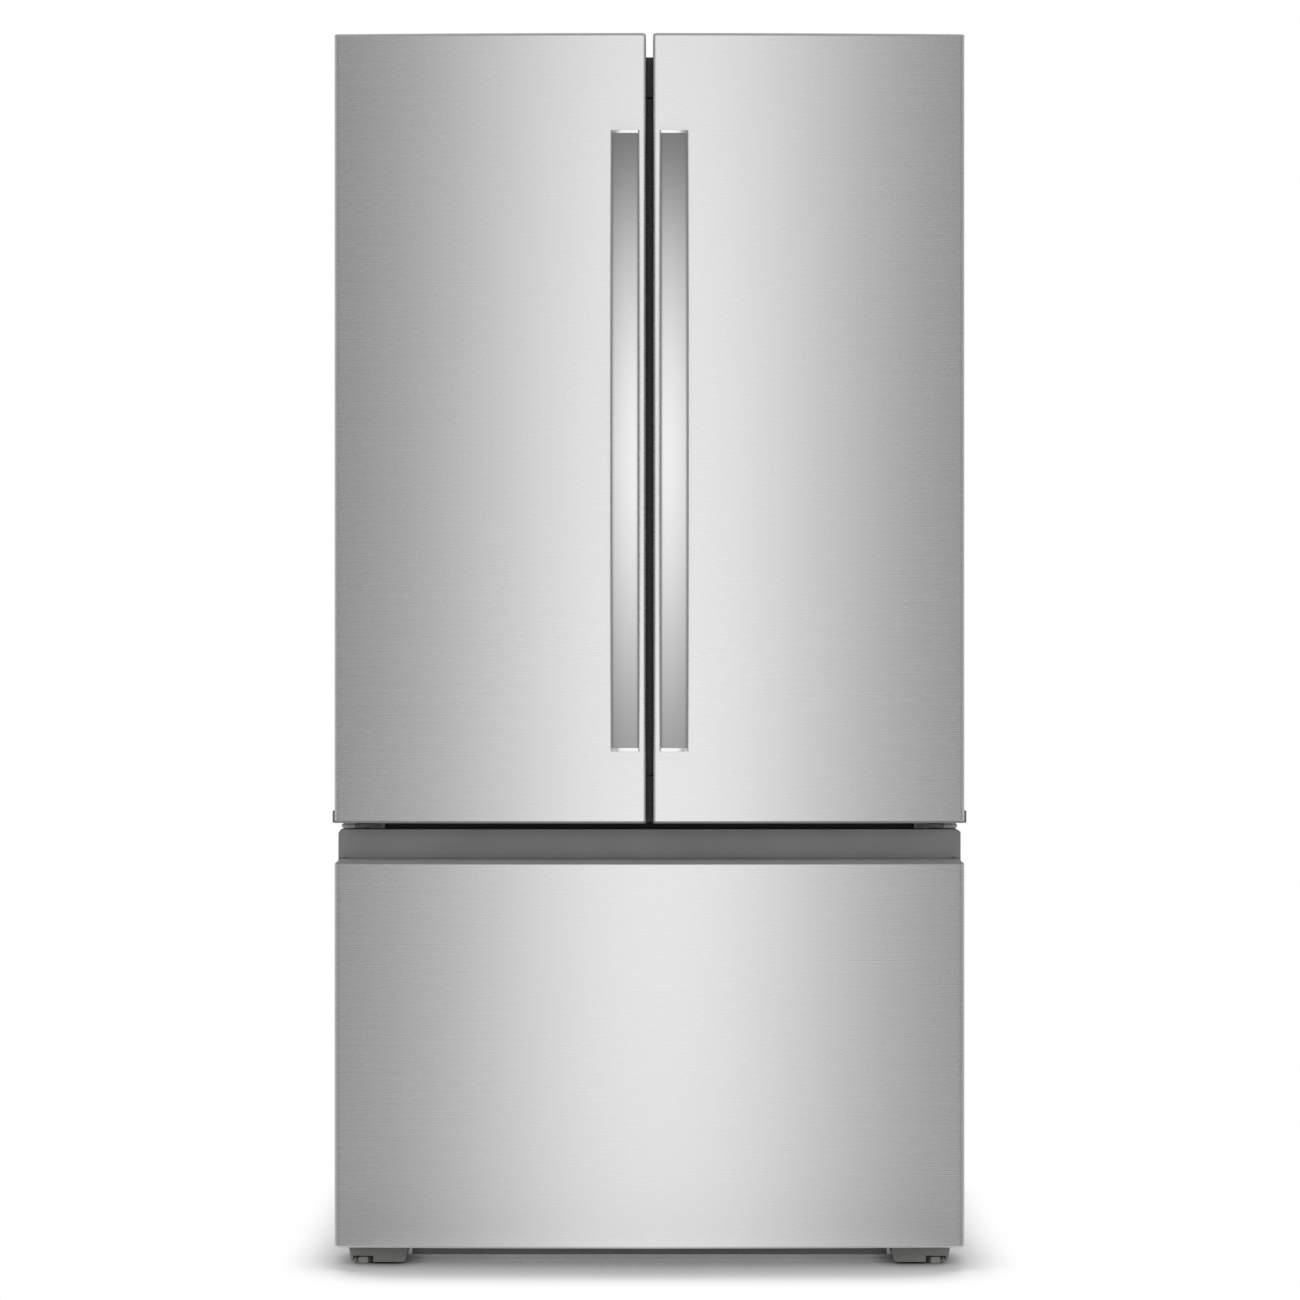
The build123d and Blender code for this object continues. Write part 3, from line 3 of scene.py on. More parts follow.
import bmesh
import bpy
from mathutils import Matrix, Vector


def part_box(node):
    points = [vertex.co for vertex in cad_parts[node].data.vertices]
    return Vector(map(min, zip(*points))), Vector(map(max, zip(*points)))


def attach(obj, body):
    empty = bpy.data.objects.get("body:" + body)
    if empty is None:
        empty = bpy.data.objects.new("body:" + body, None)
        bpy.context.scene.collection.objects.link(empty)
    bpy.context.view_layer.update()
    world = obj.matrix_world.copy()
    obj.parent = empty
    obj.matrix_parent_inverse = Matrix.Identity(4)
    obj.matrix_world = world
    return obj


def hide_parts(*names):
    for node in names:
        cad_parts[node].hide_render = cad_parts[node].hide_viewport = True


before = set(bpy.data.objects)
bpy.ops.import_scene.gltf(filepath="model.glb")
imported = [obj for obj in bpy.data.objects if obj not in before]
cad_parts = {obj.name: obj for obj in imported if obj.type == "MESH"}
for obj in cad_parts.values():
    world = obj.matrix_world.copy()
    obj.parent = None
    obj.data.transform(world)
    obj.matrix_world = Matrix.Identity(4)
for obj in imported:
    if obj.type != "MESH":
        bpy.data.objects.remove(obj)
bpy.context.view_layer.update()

# The outer case is one steel sheet folded over the top and down both sides, with a return round
# the front that the seals close on. Its grey paint has a fine pebbled texture.
MM = 0.001


class Wire:
    """A shader socket. Arithmetic on it adds Math nodes to its tree."""

    def __init__(self, tree, socket=None):
        self.tree = tree
        self.socket = socket

    def node(self, kind, settings=None, inputs=None, output=0):
        """Adds a node, sets it up, feeds its sockets and wraps one of its outputs."""
        node = self.tree.nodes.new(kind)
        for name, value in (settings or {}).items():
            if name == "stops":
                for i, (place, shade) in enumerate(value):
                    stops = node.color_ramp.elements
                    stop = stops[i] if i < 2 else stops.new(place)
                    stop.position = place
                    stop.color = (*shade, 1) if isinstance(shade, tuple) else (shade, shade, shade, 1)
            else:
                setattr(node, name, value)
        for name, value in (inputs or {}).items():
            if isinstance(value, Wire):
                self.tree.links.new(value.socket, node.inputs[name])
            else:
                node.inputs[name].default_value = value
        return Wire(self.tree, node.outputs[output])

    def feed(self, node, name):
        """Links this socket into a node's input."""
        self.tree.links.new(self.socket, node.inputs[name])

    def math(self, operation, first, second):
        return self.node("ShaderNodeMath", {"operation": operation}, {0: first, 1: second})

    def __add__(self, other):
        return self.math("ADD", self, other)

    def __radd__(self, other):
        return self.math("ADD", other, self)

    def __sub__(self, other):
        return self.math("SUBTRACT", self, other)

    def __rsub__(self, other):
        return self.math("SUBTRACT", other, self)

    def __mul__(self, other):
        return self.math("MULTIPLY", self, other)

    def __rmul__(self, other):
        return self.math("MULTIPLY", other, self)

    def __pow__(self, other):
        return self.math("POWER", self, other)


def finish(name, color, roughness, **constants):
    """A material with one Principled shader, whose plain values are set on its own sockets."""
    material = bpy.data.materials.new(name)
    material.use_nodes = True
    shader = material.node_tree.nodes["Principled BSDF"]
    shader.inputs["Base Color"].default_value = (*color, 1)
    shader.inputs["Roughness"].default_value = roughness
    for socket, value in constants.items():
        shader.inputs[socket.replace("_", " ")].default_value = value
    return material, Wire(material.node_tree), shader


def place(wire, scale=(1, 1, 1)):
    """Position on the object in metres, stretched by scale."""
    position = wire.node("ShaderNodeTexCoord", output="Object")
    return wire.node("ShaderNodeVectorMath", {"operation": "MULTIPLY"}, {0: position, 1: scale})


def noise(wire, per_metre, detail=2.0, stretch=(1, 1, 1)):
    """Soft noise between 0 and 1, with the given number of lumps in a metre."""
    return wire.node("ShaderNodeTexNoise", {}, {"Vector": place(wire, stretch), "Scale": per_metre,
                                               "Detail": detail, "Roughness": 0.55})


def shades(wire, value, stops):
    """A colour ramp over a value."""
    return wire.node("ShaderNodeValToRGB", {"stops": stops}, {"Fac": value})


def bump(wire, shader, height, depth, strength=1.0):
    """Relief of the given depth in metres."""
    normal = wire.node("ShaderNodeBump", {}, {"Height": height, "Distance": depth, "Strength": strength})
    normal.feed(shader, "Normal")


def moulded(name, color, roughness, grain_per_metre, grain_depth, spread=0.06, **constants):
    """Moulded plastic, rubber or paint: cloudy colour, fine grain and uneven gloss."""
    material, wire, shader = finish(name, color, roughness, **constants)
    clouds_per_metre = 14
    cloud = noise(wire, clouds_per_metre, 3)
    darker = tuple(c * (1 - spread) for c in color)
    lighter = tuple(min(1.0, c * (1 + spread)) for c in color)
    shades(wire, cloud, [(0.3, darker), (0.7, lighter)]).feed(shader, "Base Color")
    grain = noise(wire, grain_per_metre, 3)
    uneven = 0.1
    (roughness - uneven / 2 + grain * uneven).feed(shader, "Roughness")
    bump(wire, shader, grain, grain_depth)
    return material


def dress(material, *nodes, edge=0.0):
    """Gives CAD nodes a finish, with their edges eased by the given radius."""
    for name in nodes:
        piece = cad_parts[name]
        piece.data.materials.clear()
        piece.data.materials.append(material)
        if edge:
            weld = piece.modifiers.new("weld", "WELD")
            weld.merge_threshold = 0.01 * MM
            ease = piece.modifiers.new("ease", "BEVEL")
            ease.width = edge
            ease.segments = 2
            ease.limit_method = "ANGLE"
            ease.angle_limit = math.radians(40)
            ease.harden_normals = True


case_paint = moulded("case_paint", (0.150, 0.151, 0.156), 0.42, 1500, 0.12 * MM, 0.02)
dress(case_paint, "outer_case", edge=0.8 * MM)

# The rear panel and the machine bay's cover are bare galvanised sheet with a fine spangle. Beads
# are pressed into the panel, vents are cut in the cover, and flat-headed screws go round both.
galvanised, wire, shader = finish("galvanised", (0.50, 0.51, 0.52), 0.42, Metallic=0.8)
crystals = wire.node("ShaderNodeTexVoronoi", {"feature": "F1"}, {"Vector": place(wire), "Scale": 240.0},
                     output="Color")
flakes = wire.node("ShaderNodeSeparateColor", {}, {"Color": crystals})
spangle = flakes * 0.6 + noise(wire, 11, 3) * 0.4
shades(wire, spangle, [(0.1, (0.45, 0.46, 0.47)), (0.9, (0.56, 0.57, 0.58))]).feed(shader, "Base Color")
(0.38 + flakes * 0.08).feed(shader, "Roughness")
bump(wire, shader, noise(wire, 7, 2), 0.5 * MM)
dress(galvanised, "back_panel", "rear_cover", edge=0.3 * MM)


def mesh_piece(name, lot, material, body, smooth=40):
    """A new mesh piece that rides on a body; edges under the smooth angle shade as one surface."""
    verts, faces = lot
    mesh = bpy.data.meshes.new(name)
    mesh.from_pydata([tuple(v) for v in verts], [], faces)
    work = bmesh.new()
    work.from_mesh(mesh)
    bmesh.ops.remove_doubles(work, verts=work.verts, dist=0.001 * MM)
    bmesh.ops.recalc_face_normals(work, faces=work.faces)
    work.to_mesh(mesh)
    work.free()
    mesh.shade_smooth()
    mesh.set_sharp_from_angle(angle=math.radians(smooth))
    mesh.materials.append(material)
    piece = bpy.data.objects.new(name, mesh)
    bpy.context.collection.objects.link(piece)
    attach(piece, body)
    return piece


def loft(rings, ends=True):
    """Verts and faces of a skin stretched over closed rings of equal length."""
    size = len(rings[0])
    verts = [Vector(p) for ring in rings for p in ring]
    faces = []
    for i in range(len(rings) - 1):
        for j in range(size):
            k = (j + 1) % size
            faces.append((i * size + j, i * size + k, (i + 1) * size + k, (i + 1) * size + j))
    if ends:
        faces.append(tuple(range(size)))
        faces.append(tuple(range((len(rings) - 1) * size, len(rings) * size)))
    return verts, faces


def joined(lots):
    """Several lots of verts and faces as one lot."""
    verts = []
    faces = []
    for more_verts, more_faces in lots:
        start = len(verts)
        verts += list(more_verts)
        faces += [tuple(start + i for i in face) for face in more_faces]
    return verts, faces


def turned(profile, sides, base=(0, 0, 0), axis=(0, 0, 1), bored=False):
    """A turned form: (radius, height) steps round an axis through base; a bored one is a ring."""
    spin = Vector((0, 0, 1)).rotation_difference(Vector(axis)).to_matrix()
    rings = []
    for radius, height in profile:
        ring = []
        for i in range(sides):
            a = 2 * math.pi * i / sides
            ring.append(Vector(base) + spin @ Vector((radius * math.cos(a), radius * math.sin(a), height)))
        rings.append(ring)
    return loft(rings + rings[:1], ends=False) if bored else loft(rings)


def flat_screw(at, axis, radius=4.5 * MM):
    """A low dished screw head."""
    steps = [(1.0, 0.0), (1.0, 0.25), (0.86, 0.4), (0.45, 0.4), (0.32, 0.1)]
    return turned([(radius * r, h * MM) for r, h in steps], 20, at, axis)


zinc = moulded("zinc_plate", (0.66, 0.66, 0.64), 0.3, 300, 0.02 * MM, Metallic=0.95)
panel_low, panel_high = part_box("back_panel")
cover_low, cover_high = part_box("rear_cover")
inset = 12 * MM
rows = 7
spots = [(share * panel_high.x, panel_high.z - inset) for share in (-0.5, 0.0, 0.5)]
for i in range(rows):
    z = panel_low.z + inset + i * (panel_high.z - panel_low.z - 2 * inset) / (rows - 1)
    spots += [(panel_low.x + inset, z), (panel_high.x - inset, z)]
for share in (-1, -0.3, 0.3, 1):
    x = share * (cover_high.x - inset)
    spots += [(x, cover_low.z + inset), (x, cover_high.z - inset)]
screws = joined([flat_screw((x, panel_high.y, z), (0, 1, 0)) for x, z in spots])
mesh_piece("rear_panel_screws", screws, zinc, "cabinet")

# Polyurethane foam is poured between the case and the liners, and into the doors and the drawer.
# The cord's grommet and the drain pan are black moulded plastic.
foam = moulded("foam", (0.80, 0.72, 0.50), 0.85, 260, 0.8 * MM, 0.1)
dress(foam, "insulation", "left_door_core", "right_door_core", "drawer_core")
black_plastic = moulded("black_plastic", (0.034, 0.034, 0.035), 0.45, 1200, 0.05 * MM)
dress(black_plastic, "cord_grommet", "drain_pan", edge=0.4 * MM)

# The refrigerator's liner is white plastic sheet drawn over a mould, so each inside corner is a
# cove. A rounded ledge down each side carries the crisper cover.
liner_white = moulded("liner_white", (0.86, 0.87, 0.88), 0.27, 420, 0.03 * MM, 0.015, Coat_Weight=0.15)
tub_low, tub_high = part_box("fridge_liner")
wall = 2.5 * MM
cove = 12 * MM


def rounded_ring(x0, x1, z0, z1, radius, y):
    """One rounded rectangle across the refrigerator, at a depth y."""
    ring = []
    steps = 6
    corners = ((x1 - radius, z1 - radius), (x0 + radius, z1 - radius), (x0 + radius, z0 + radius),
               (x1 - radius, z0 + radius))
    for quarter, (x, z) in enumerate(corners):
        for i in range(steps + 1):
            a = math.pi / 2 * (quarter + i / steps)
            ring.append((x + radius * math.cos(a), y, z + radius * math.sin(a)))
    return ring


def tub_ring(inward, radius, y):
    """A ring of the tub, moved inward from its inside walls."""
    shift = wall + inward
    return rounded_ring(tub_low.x + shift, tub_high.x - shift, tub_low.z + shift, tub_high.z - shift,
                        radius, y)


def drawn_tub():
    """The liner as one sheet: back wall, coves, side walls, front edge and outside."""
    rings = []
    steps = 6
    tightest = 0.4 * MM
    outside_radius = 1 * MM
    for i in range(steps + 1):
        a = math.pi / 2 * i / steps
        inward = cove * (1 - math.sin(a))
        depth = cove * (1 - math.cos(a))
        rings.append(tub_ring(inward, max(cove - inward, tightest), tub_high.y - wall - depth))
    rings.append(tub_ring(0.0, cove, tub_low.y))
    rings.append(tub_ring(-wall, outside_radius, tub_low.y))
    rings.append(tub_ring(-wall, outside_radius, tub_high.y))
    return loft(rings)


def ledge(side):
    """A rounded bar along the side wall, under the crisper cover."""
    shelf_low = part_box("shelf_frames")[0]
    width = 8 * MM
    height = 10 * MM
    nose = 2 * MM
    corner = 2.5 * MM
    edge = side * (tub_high.x - wall)
    x0 = min(edge, edge - side * width)
    top = shelf_low.z
    rings = []
    for y, inward in ((shelf_low.y, nose), (shelf_low.y + nose, 0.0), (tub_high.y - wall, 0.0)):
        rings.append(rounded_ring(x0 + inward, x0 + width - inward, top - height + inward, top - inward / 4,
                                  corner - inward / 2, y))
    return loft(rings)


tub_sheet = joined([drawn_tub(), ledge(-1), ledge(1)])
tub = mesh_piece("fridge_tub", tub_sheet, liner_white, "cabinet")
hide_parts("fridge_liner")

# The freezer's liner is the same sheet, stepped over the machine bay. The moulded cover in front
# of the evaporator and the air duct up the refrigerator's back are the same white plastic.
dress(liner_white, "freezer_liner", "evaporator_cover", "air_duct", edge=1.2 * MM)

# The rail between the compartments and the base pan are pressed sheet, painted near black and darker than the
# case: painted shade standing in for the deep gap below the doors and the shade under the drawer.
rail_painted_shade = moulded("rail_painted_shade", (0.016, 0.016, 0.017), 0.6, 1500, 0.08 * MM, Specular_IOR_Level=0.25)
pan_painted_shade = moulded("pan_painted_shade", (0.075, 0.075, 0.078), 0.5, 1500, 0.08 * MM)
# The rail's near-black, weakly glossy paint is painted shade for the gap; the pan's dark paint is painted
# shade under the drawer.
dress(rail_painted_shade, "center_rail", edge=0.3 * MM)
dress(pan_painted_shade, "base_pan", edge=0.3 * MM)

# The cooling set is a black welded compressor, finned aluminium coils and two fans on boxed
# motors, all behind the rear cover or the evaporator cover.
compressor_paint = moulded("compressor_paint", (0.02, 0.02, 0.021), 0.32, 500, 0.06 * MM)
coil_metal = moulded("coil_metal", (0.70, 0.71, 0.72), 0.34, 700, 0.04 * MM, Metallic=0.95)
dress(compressor_paint, "compressor", edge=2 * MM)
dress(coil_metal, "condenser", "evaporator")
dress(galvanised, "fan_motors", edge=0.6 * MM)
dress(black_plastic, "condenser_fan", "evaporator_fan", edge=0.4 * MM)

# The hinges are pressed steel plates with riveted pins. A moulded cover with one pan-head screw
# goes over each top hinge, and two screws hold each centre hinge to the rail.
hinge_paint = moulded("hinge_paint", (0.36, 0.36, 0.37), 0.35, 700, 0.04 * MM)
# The centre hinges get a darker copy of the hinge paint: painted shade for the dark gap they sit in.
shaded_hinge_paint = moulded("shaded_hinge_paint", (0.13, 0.13, 0.134), 0.35, 700, 0.04 * MM)
cover_plastic = moulded("cover_plastic", (0.150, 0.151, 0.156), 0.45, 1300, 0.06 * MM)
dress(hinge_paint, "top_hinges", edge=0.5 * MM)
dress(shaded_hinge_paint, "center_hinges", edge=0.5 * MM)
dress(cover_plastic, "hinge_covers", edge=1.2 * MM)
lid_low, lid_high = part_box("hinge_covers")
face_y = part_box("outer_case")[0].y
hinge_low, hinge_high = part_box("center_hinges")
lid_screw_inset = 46 * MM
lid_screw_back = 20 * MM
rail_screw_insets = (14 * MM, 42 * MM)
rail_screw_rise = 8 * MM
hinge_plate = 4 * MM
pan_head = [(4 * MM, 0.0), (4 * MM, 0.5 * MM), (3 * MM, 1.2 * MM), (1 * MM, 1.5 * MM)]
washer = [(5 * MM, 0.0), (5 * MM, 0.8 * MM)]
hex_head = [(4 * MM, 0.7 * MM), (4 * MM, 2.6 * MM), (3.4 * MM, 3 * MM)]
heads = []
for side in (-1, 1):
    lid_y = (lid_low.y + lid_high.y) / 2 + lid_screw_back
    heads.append(turned(pan_head, 20, (side * (lid_high.x - lid_screw_inset), lid_y, lid_high.z)))
    for inward in rail_screw_insets:
        spot = (side * (hinge_high.x - inward), face_y - hinge_plate, hinge_low.z + rail_screw_rise)
        heads.append(turned(washer, 20, spot, (0, -1, 0)))
        heads.append(turned(hex_head, 6, spot, (0, -1, 0)))
mesh_piece("hinge_screws", joined(heads), zinc, "cabinet")

# The doors' fronts are brushed stainless sheet in one shallow bow across both doors, rolled round
# the edges and folded in behind. The brushing runs across, and a notch clears each top hinge.


def brushed(name, tone, anisotropic, polish):
    """Stainless steel with fine brushing across it."""
    color = (tone, tone, tone)
    contrast = 0.055
    uneven = 0.10
    material, wire, shader = finish(name, color, polish, Metallic=1.0, Anisotropic=anisotropic,
                                    Anisotropic_Rotation=0.25)
    strokes = noise(wire, 1.0, 3, (2.5, 2.5, 420))
    streaks = noise(wire, 1.0, 4, (6, 6, 2600))
    hairs = noise(wire, 1.0, 2, (24, 24, 7000))
    brushing = strokes * 0.32 + streaks * 0.4 + hairs * 0.28
    darker = tuple(c * (1 - contrast) for c in color)
    lighter = tuple(c * (1 + contrast) for c in color)
    shades(wire, brushing, [(0.25, darker), (0.75, lighter)]).feed(shader, "Base Color")
    (polish + brushing * uneven).feed(shader, "Roughness")
    bump(wire, shader, brushing, 0.015 * MM, 0.4)
    return material


steel = brushed("brushed_steel", 0.65, 1, 0.22)
skin_low, skin_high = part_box("left_door_skin")
drawer_low, drawer_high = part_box("drawer_skin")
front_half = drawer_high.x
front_bow = 9 * MM
crest_y = drawer_low.y
bow_radius = (front_half**2 + front_bow**2) / (2 * front_bow)
sheet = 1 * MM
outer_radius = 5 * MM
inner_radius = 3.2 * MM
fold = 10 * MM


def bow(x, inward=0.0):
    """Front of the doors and drawer at x, in one arc across the width."""
    return crest_y + bow_radius - math.sqrt((bow_radius - inward) ** 2 - x * x)


def rolled_outline(x0, x1, backs, inward, radii):
    """Plan of a bowed front: folded behind, up one side, round the front and down the other."""
    tightest = 0.4 * MM
    radius0, radius1 = (max(radius - inward, tightest) for radius in radii)
    x0 = x0 + inward
    x1 = x1 - inward
    (back0, fold0), (back1, fold1) = ((y - inward, width) for y, width in backs)
    points = [(x0 + fold0, back0), (x0, back0)]
    steps = 8
    corner_y = bow(x0 + radius0, inward) + radius0
    for i in range(steps):
        a = math.pi / 2 * i / steps
        points.append((x0 + radius0 * (1 - math.cos(a)), corner_y - radius0 * math.sin(a)))
    count = 40
    close = 0.004
    for share in [0, close] + [i / count for i in range(1, count)] + [1 - close, 1]:
        x = x0 + radius0 + (x1 - radius1 - x0 - radius0) * share
        points.append((x, bow(x, inward)))
    corner_y = bow(x1 - radius1, inward) + radius1
    for i in range(steps):
        a = math.pi / 2 * (i + 1) / steps
        points.append((x1 - radius1 * (1 - math.sin(a)), corner_y - radius1 * math.cos(a)))
    points += [(x1, back1), (x1 - fold1, back1)]
    return points


def rolled_sheet(x0, x1, levels, radii):
    """A folded steel front with real thickness; each level has a height, an inset and its backs."""
    rings = []
    for z, inward, backs in levels:
        outside = rolled_outline(x0, x1, backs, inward, radii)
        inside = rolled_outline(x0, x1, backs, inward + sheet, radii)
        rings.append([(x, y, z) for x, y in outside] + [(x, y, z) for x, y in reversed(inside)])
    verts, faces = loft(rings, ends=False)
    size = len(rings[0])
    last = (len(rings) - 1) * size
    for i in range(size // 2 - 1):
        j = size - 1 - i
        faces.append((i, i + 1, j - 1, j))
        faces.append((last + i, last + i + 1, last + j - 1, last + j))
    return verts, faces


notch_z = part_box("outer_case")[1].z - 2 * MM
notch_depth = 52 * MM
notch_fold = 0.2 * MM
for side, name in ((-1, "left"), (1, "right")):
    low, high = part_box(name + "_door_skin")
    radii = (outer_radius, inner_radius) if side < 0 else (inner_radius, outer_radius)
    full = ((high.y, fold), (high.y, fold))
    cut = (high.y - notch_depth, notch_fold)
    notched = (cut, full[1]) if side < 0 else (full[0], cut)
    third = (notch_z - low.z) / 3
    levels = [(low.z + i * third, 0.0, full) for i in range(3)]
    levels += [(notch_z, 0.0, full), (notch_z, 0.0, notched), (high.z, 0.0, notched)]
    front = rolled_sheet(low.x, high.x, levels, radii)
    skin = mesh_piece(name + "_door_front", front, steel, name + "_door")
    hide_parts(name + "_door_skin")

# Moulded caps plug each door above and below and carry the hinge bores. Their rims show as thin lines along
# the steel's edges, mid grey above; below the doors' middle height the caps are painted a darker grey as
# painted shade.
upper_grey = (0.19, 0.19, 0.192)
shaded_lower_grey = (0.10, 0.10, 0.102)
rim_plastic, wire, shader = finish("rim_plastic", upper_grey, 0.35)
# Caps below the doors' middle height take the darker grey: painted shade, not a different plastic.
level = wire.node("ShaderNodeSeparateXYZ", {}, {0: place(wire)}, output="Z")
upper = wire.math("GREATER_THAN", level, (skin_low.z + skin_high.z) / 2)
shades(wire, upper, [(0.0, shaded_lower_grey), (1.0, upper_grey)]).feed(shader, "Base Color")
grain = noise(wire, 900, 3)
(0.30 + grain * 0.1).feed(shader, "Roughness")
bump(wire, shader, grain, 0.03 * MM)
dress(rim_plastic, "left_door_caps", "right_door_caps", edge=0.5 * MM)

# Each door's inside is a white drawn liner with a raised dyke round it. Clear moulded bins hang
# between the dyke's walls.
dress(liner_white, "left_door_liner", "right_door_liner", edge=1.2 * MM)
clear_plastic, wire, shader = finish("clear_plastic", (0.84, 0.89, 0.92), 0.12, IOR=1.5, Alpha=0.38)
haze = noise(wire, 30, 3)
(0.06 + haze * 0.14).feed(shader, "Roughness")
bump(wire, shader, noise(wire, 120, 2), 0.05 * MM)
dress(clear_plastic, "left_door_bins", "right_door_bins", edge=0.8 * MM)

# The seals are extruded grey vinyl bellows, welded at mitred corners and pressed into the liner's
# edge. The flat head holds a magnet strip.
gasket_vinyl = moulded("gasket_vinyl", (0.20, 0.20, 0.205), 0.6, 900, 0.06 * MM)


def bellows(low, high):
    """A foot, two pleats and a flat head, carried round a rectangle."""
    depth = high.y - low.y
    half = 7 * MM
    side = [(1.0, 0.0), (1.0, 0.12), (0.5, 0.26), (0.85, 0.42), (0.5, 0.58), (0.93, 0.70), (1.0, 0.75),
            (1.0, 0.97), (0.94, 1.0)]
    profile = side + [(-out, rise) for out, rise in reversed(side)]
    rings = []
    for sx, sz in ((1, 1), (-1, 1), (-1, -1), (1, -1)):
        x = high.x - half if sx > 0 else low.x + half
        z = high.z - half if sz > 0 else low.z + half
        ring = []
        for out, rise in profile:
            ring.append((x + sx * out * half, low.y + rise * depth, z + sz * out * half))
        rings.append(ring)
    return loft(rings + rings[:1], ends=False)


for node, body in (("left_door_gasket", "left_door"), ("right_door_gasket", "right_door"),
                   ("drawer_gasket", "freezer_drawer")):
    name = node.replace("gasket", "seal")
    seal = mesh_piece(name, bellows(*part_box(node)), gasket_vinyl, body)
    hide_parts(node)

# Each handle is one stainless strap bent to a long arc, a little crowned across its face. Both
# ends come down thick onto the door and are bevelled off.


def strap_ring(x0, x1, z, front_y, back_y, corner):
    """One section across the strap: a crowned face, its outer corner cut back, and a flat back."""
    ring = []
    steps = 6
    face_steps = 12
    back_steps = 8
    crown = 0.25 * MM
    tilt = 0.25 * MM
    edge_radius = 2.4 * MM
    middle = (x0 + x1) / 2
    half = (x1 - x0) / 2
    radius = min(edge_radius, (back_y(x0) - front_y) * 0.45)

    def face(x):
        across = (x - middle) / half
        outward = across * math.copysign(1, middle)
        return front_y + crown * across**2 + tilt * (1 + outward) + corner * max(0.0, outward) ** 4

    for i in range(steps + 1):
        a = math.pi / 2 * (1 - i / steps)
        ring.append((x0 + radius * (1 - math.sin(a)), face(x0 + radius) + radius * (1 - math.cos(a)), z))
    for i in range(1, face_steps):
        x = x0 + radius + (x1 - x0 - 2 * radius) * i / face_steps
        ring.append((x, face(x), z))
    for i in range(steps + 1):
        a = math.pi / 2 * i / steps
        ring.append((x1 - radius * (1 - math.sin(a)), face(x1 - radius) + radius * (1 - math.cos(a)), z))
    for i in range(back_steps + 1):
        x = x1 - (x1 - x0) * i / back_steps
        ring.append((x, back_y(x), z))
    return ring


def strap(low, high):
    """The whole handle as a stack of sections along its arc."""
    half = (high.z - low.z) / 2
    middle = (high.z + low.z) / 2
    sag = 39 * MM
    radius = (half**2 + sag**2) / (2 * sag)
    thick = 11 * MM
    foot = 46 * MM
    run_out = 20 * MM
    lead = 5 * MM
    recede = 3.4 * MM
    corner = 4 * MM
    turn = 0.5 * MM
    sections = 72
    inner = half - lead - 2 * turn
    offsets = [-half, -half + lead - turn, -half + lead, -half + lead + turn]
    offsets += [-inner + 2 * inner * i / sections for i in range(sections + 1)]
    offsets += [half - lead - turn, half - lead, half - lead + turn, half]
    rings = []
    for offset in offsets:
        drop = radius - math.sqrt(radius**2 - offset**2)
        to_end = half - abs(offset)
        bevelled = max(0.0, 1 - to_end / lead)
        front = low.y + drop + recede * bevelled
        arc_back = low.y + thick + drop
        blend = min(1.0, max(0.0, (foot + run_out - to_end) / run_out))
        blend = blend * blend * (3 - 2 * blend)

        def back(x):
            seat = bow(x)
            return min(seat, arc_back) * (1 - blend) + seat * blend

        rings.append(strap_ring(low.x, high.x, middle + offset, front, back, corner * bevelled))
    return loft(rings)


handle_steel = brushed("handle_steel", 0.54, 0.0, 0.14)
for name in ("left", "right"):
    bar = mesh_piece(name + "_handle_strap", strap(*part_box(name + "_handle")), handle_steel, name + "_door",
                     25)
    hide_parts(name + "_handle")

# The folding mullion is a black moulded bar on two pivot arms, steered by a guide under the
# ceiling. A thin vinyl lip along its edge and top closes the gap behind the doors, and a moulded
# plate covers the rail below it.
mullion_plastic = moulded("mullion_plastic", (0.040, 0.040, 0.041), 0.37, 1200, 0.05 * MM)
dress(mullion_plastic, "flipper", "flipper_hinges", "flipper_guide", edge=1 * MM)
bar_low, bar_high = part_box("flipper")
lip_root = bar_high.x - 1.5 * MM
lip_tip = 5 * MM
lip_left = -20 * MM
lip_foot = bar_low.z + 1 * MM
lip_shoulder = bar_high.z - 1.5 * MM
lip_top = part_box("flipper_guide")[0].z - 0.4 * MM
lip_outline = [(lip_root, lip_foot), (lip_tip, lip_foot), (lip_tip, lip_top), (lip_left, lip_top),
               (lip_left, lip_shoulder), (lip_root, lip_shoulder)]
lip_front = 0.4 * MM
lip_back = 1.2 * MM
rings = []
for inward in (lip_front, lip_back):
    rings.append([(x, bar_low.y + inward, z) for x, z in lip_outline])
mesh_piece("mullion_lip", loft(rings), mullion_plastic, "flipper")
rail_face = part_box("center_rail")[0].y
plate_half = 9 * MM
plate_thick = 2 * MM
plate_ease = 0.6 * MM
plate_radius = 2 * MM
plate_foot = skin_low.z - 6 * MM
plate_top = bar_low.z - 0.8 * MM
rings = []
for forward, inward in ((0.0, 0.0), (plate_thick - plate_ease, 0.0), (plate_thick, plate_ease)):
    rings.append(rounded_ring(inward - plate_half, plate_half - inward, plate_foot + inward,
                              plate_top - inward / 2, plate_radius - inward, rail_face - forward))
mesh_piece("mullion_plate", loft(rings), mullion_plastic, "cabinet")

# The drawer's front is the same bowed steel as the doors, with its bottom edge rolled under. Its
# inside is a white drawn panel.
plain = ((drawer_high.y, fold), (drawer_high.y, fold))
roll = [(0.0, 3.0), (0.4, 1.5), (1.2, 0.6), (3.0, 0.0), (4.0, 0.0)]
levels = [(drawer_low.z + rise * MM, inward * MM, plain) for rise, inward in roll]
levels.append((drawer_high.z, 0.0, plain))
front = rolled_sheet(-front_half, front_half, levels, (outer_radius, outer_radius))
drawer_front = mesh_piece("drawer_front", front, steel, "freezer_drawer")
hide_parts("drawer_skin")
dress(liner_white, "drawer_liner", edge=0.9 * MM)

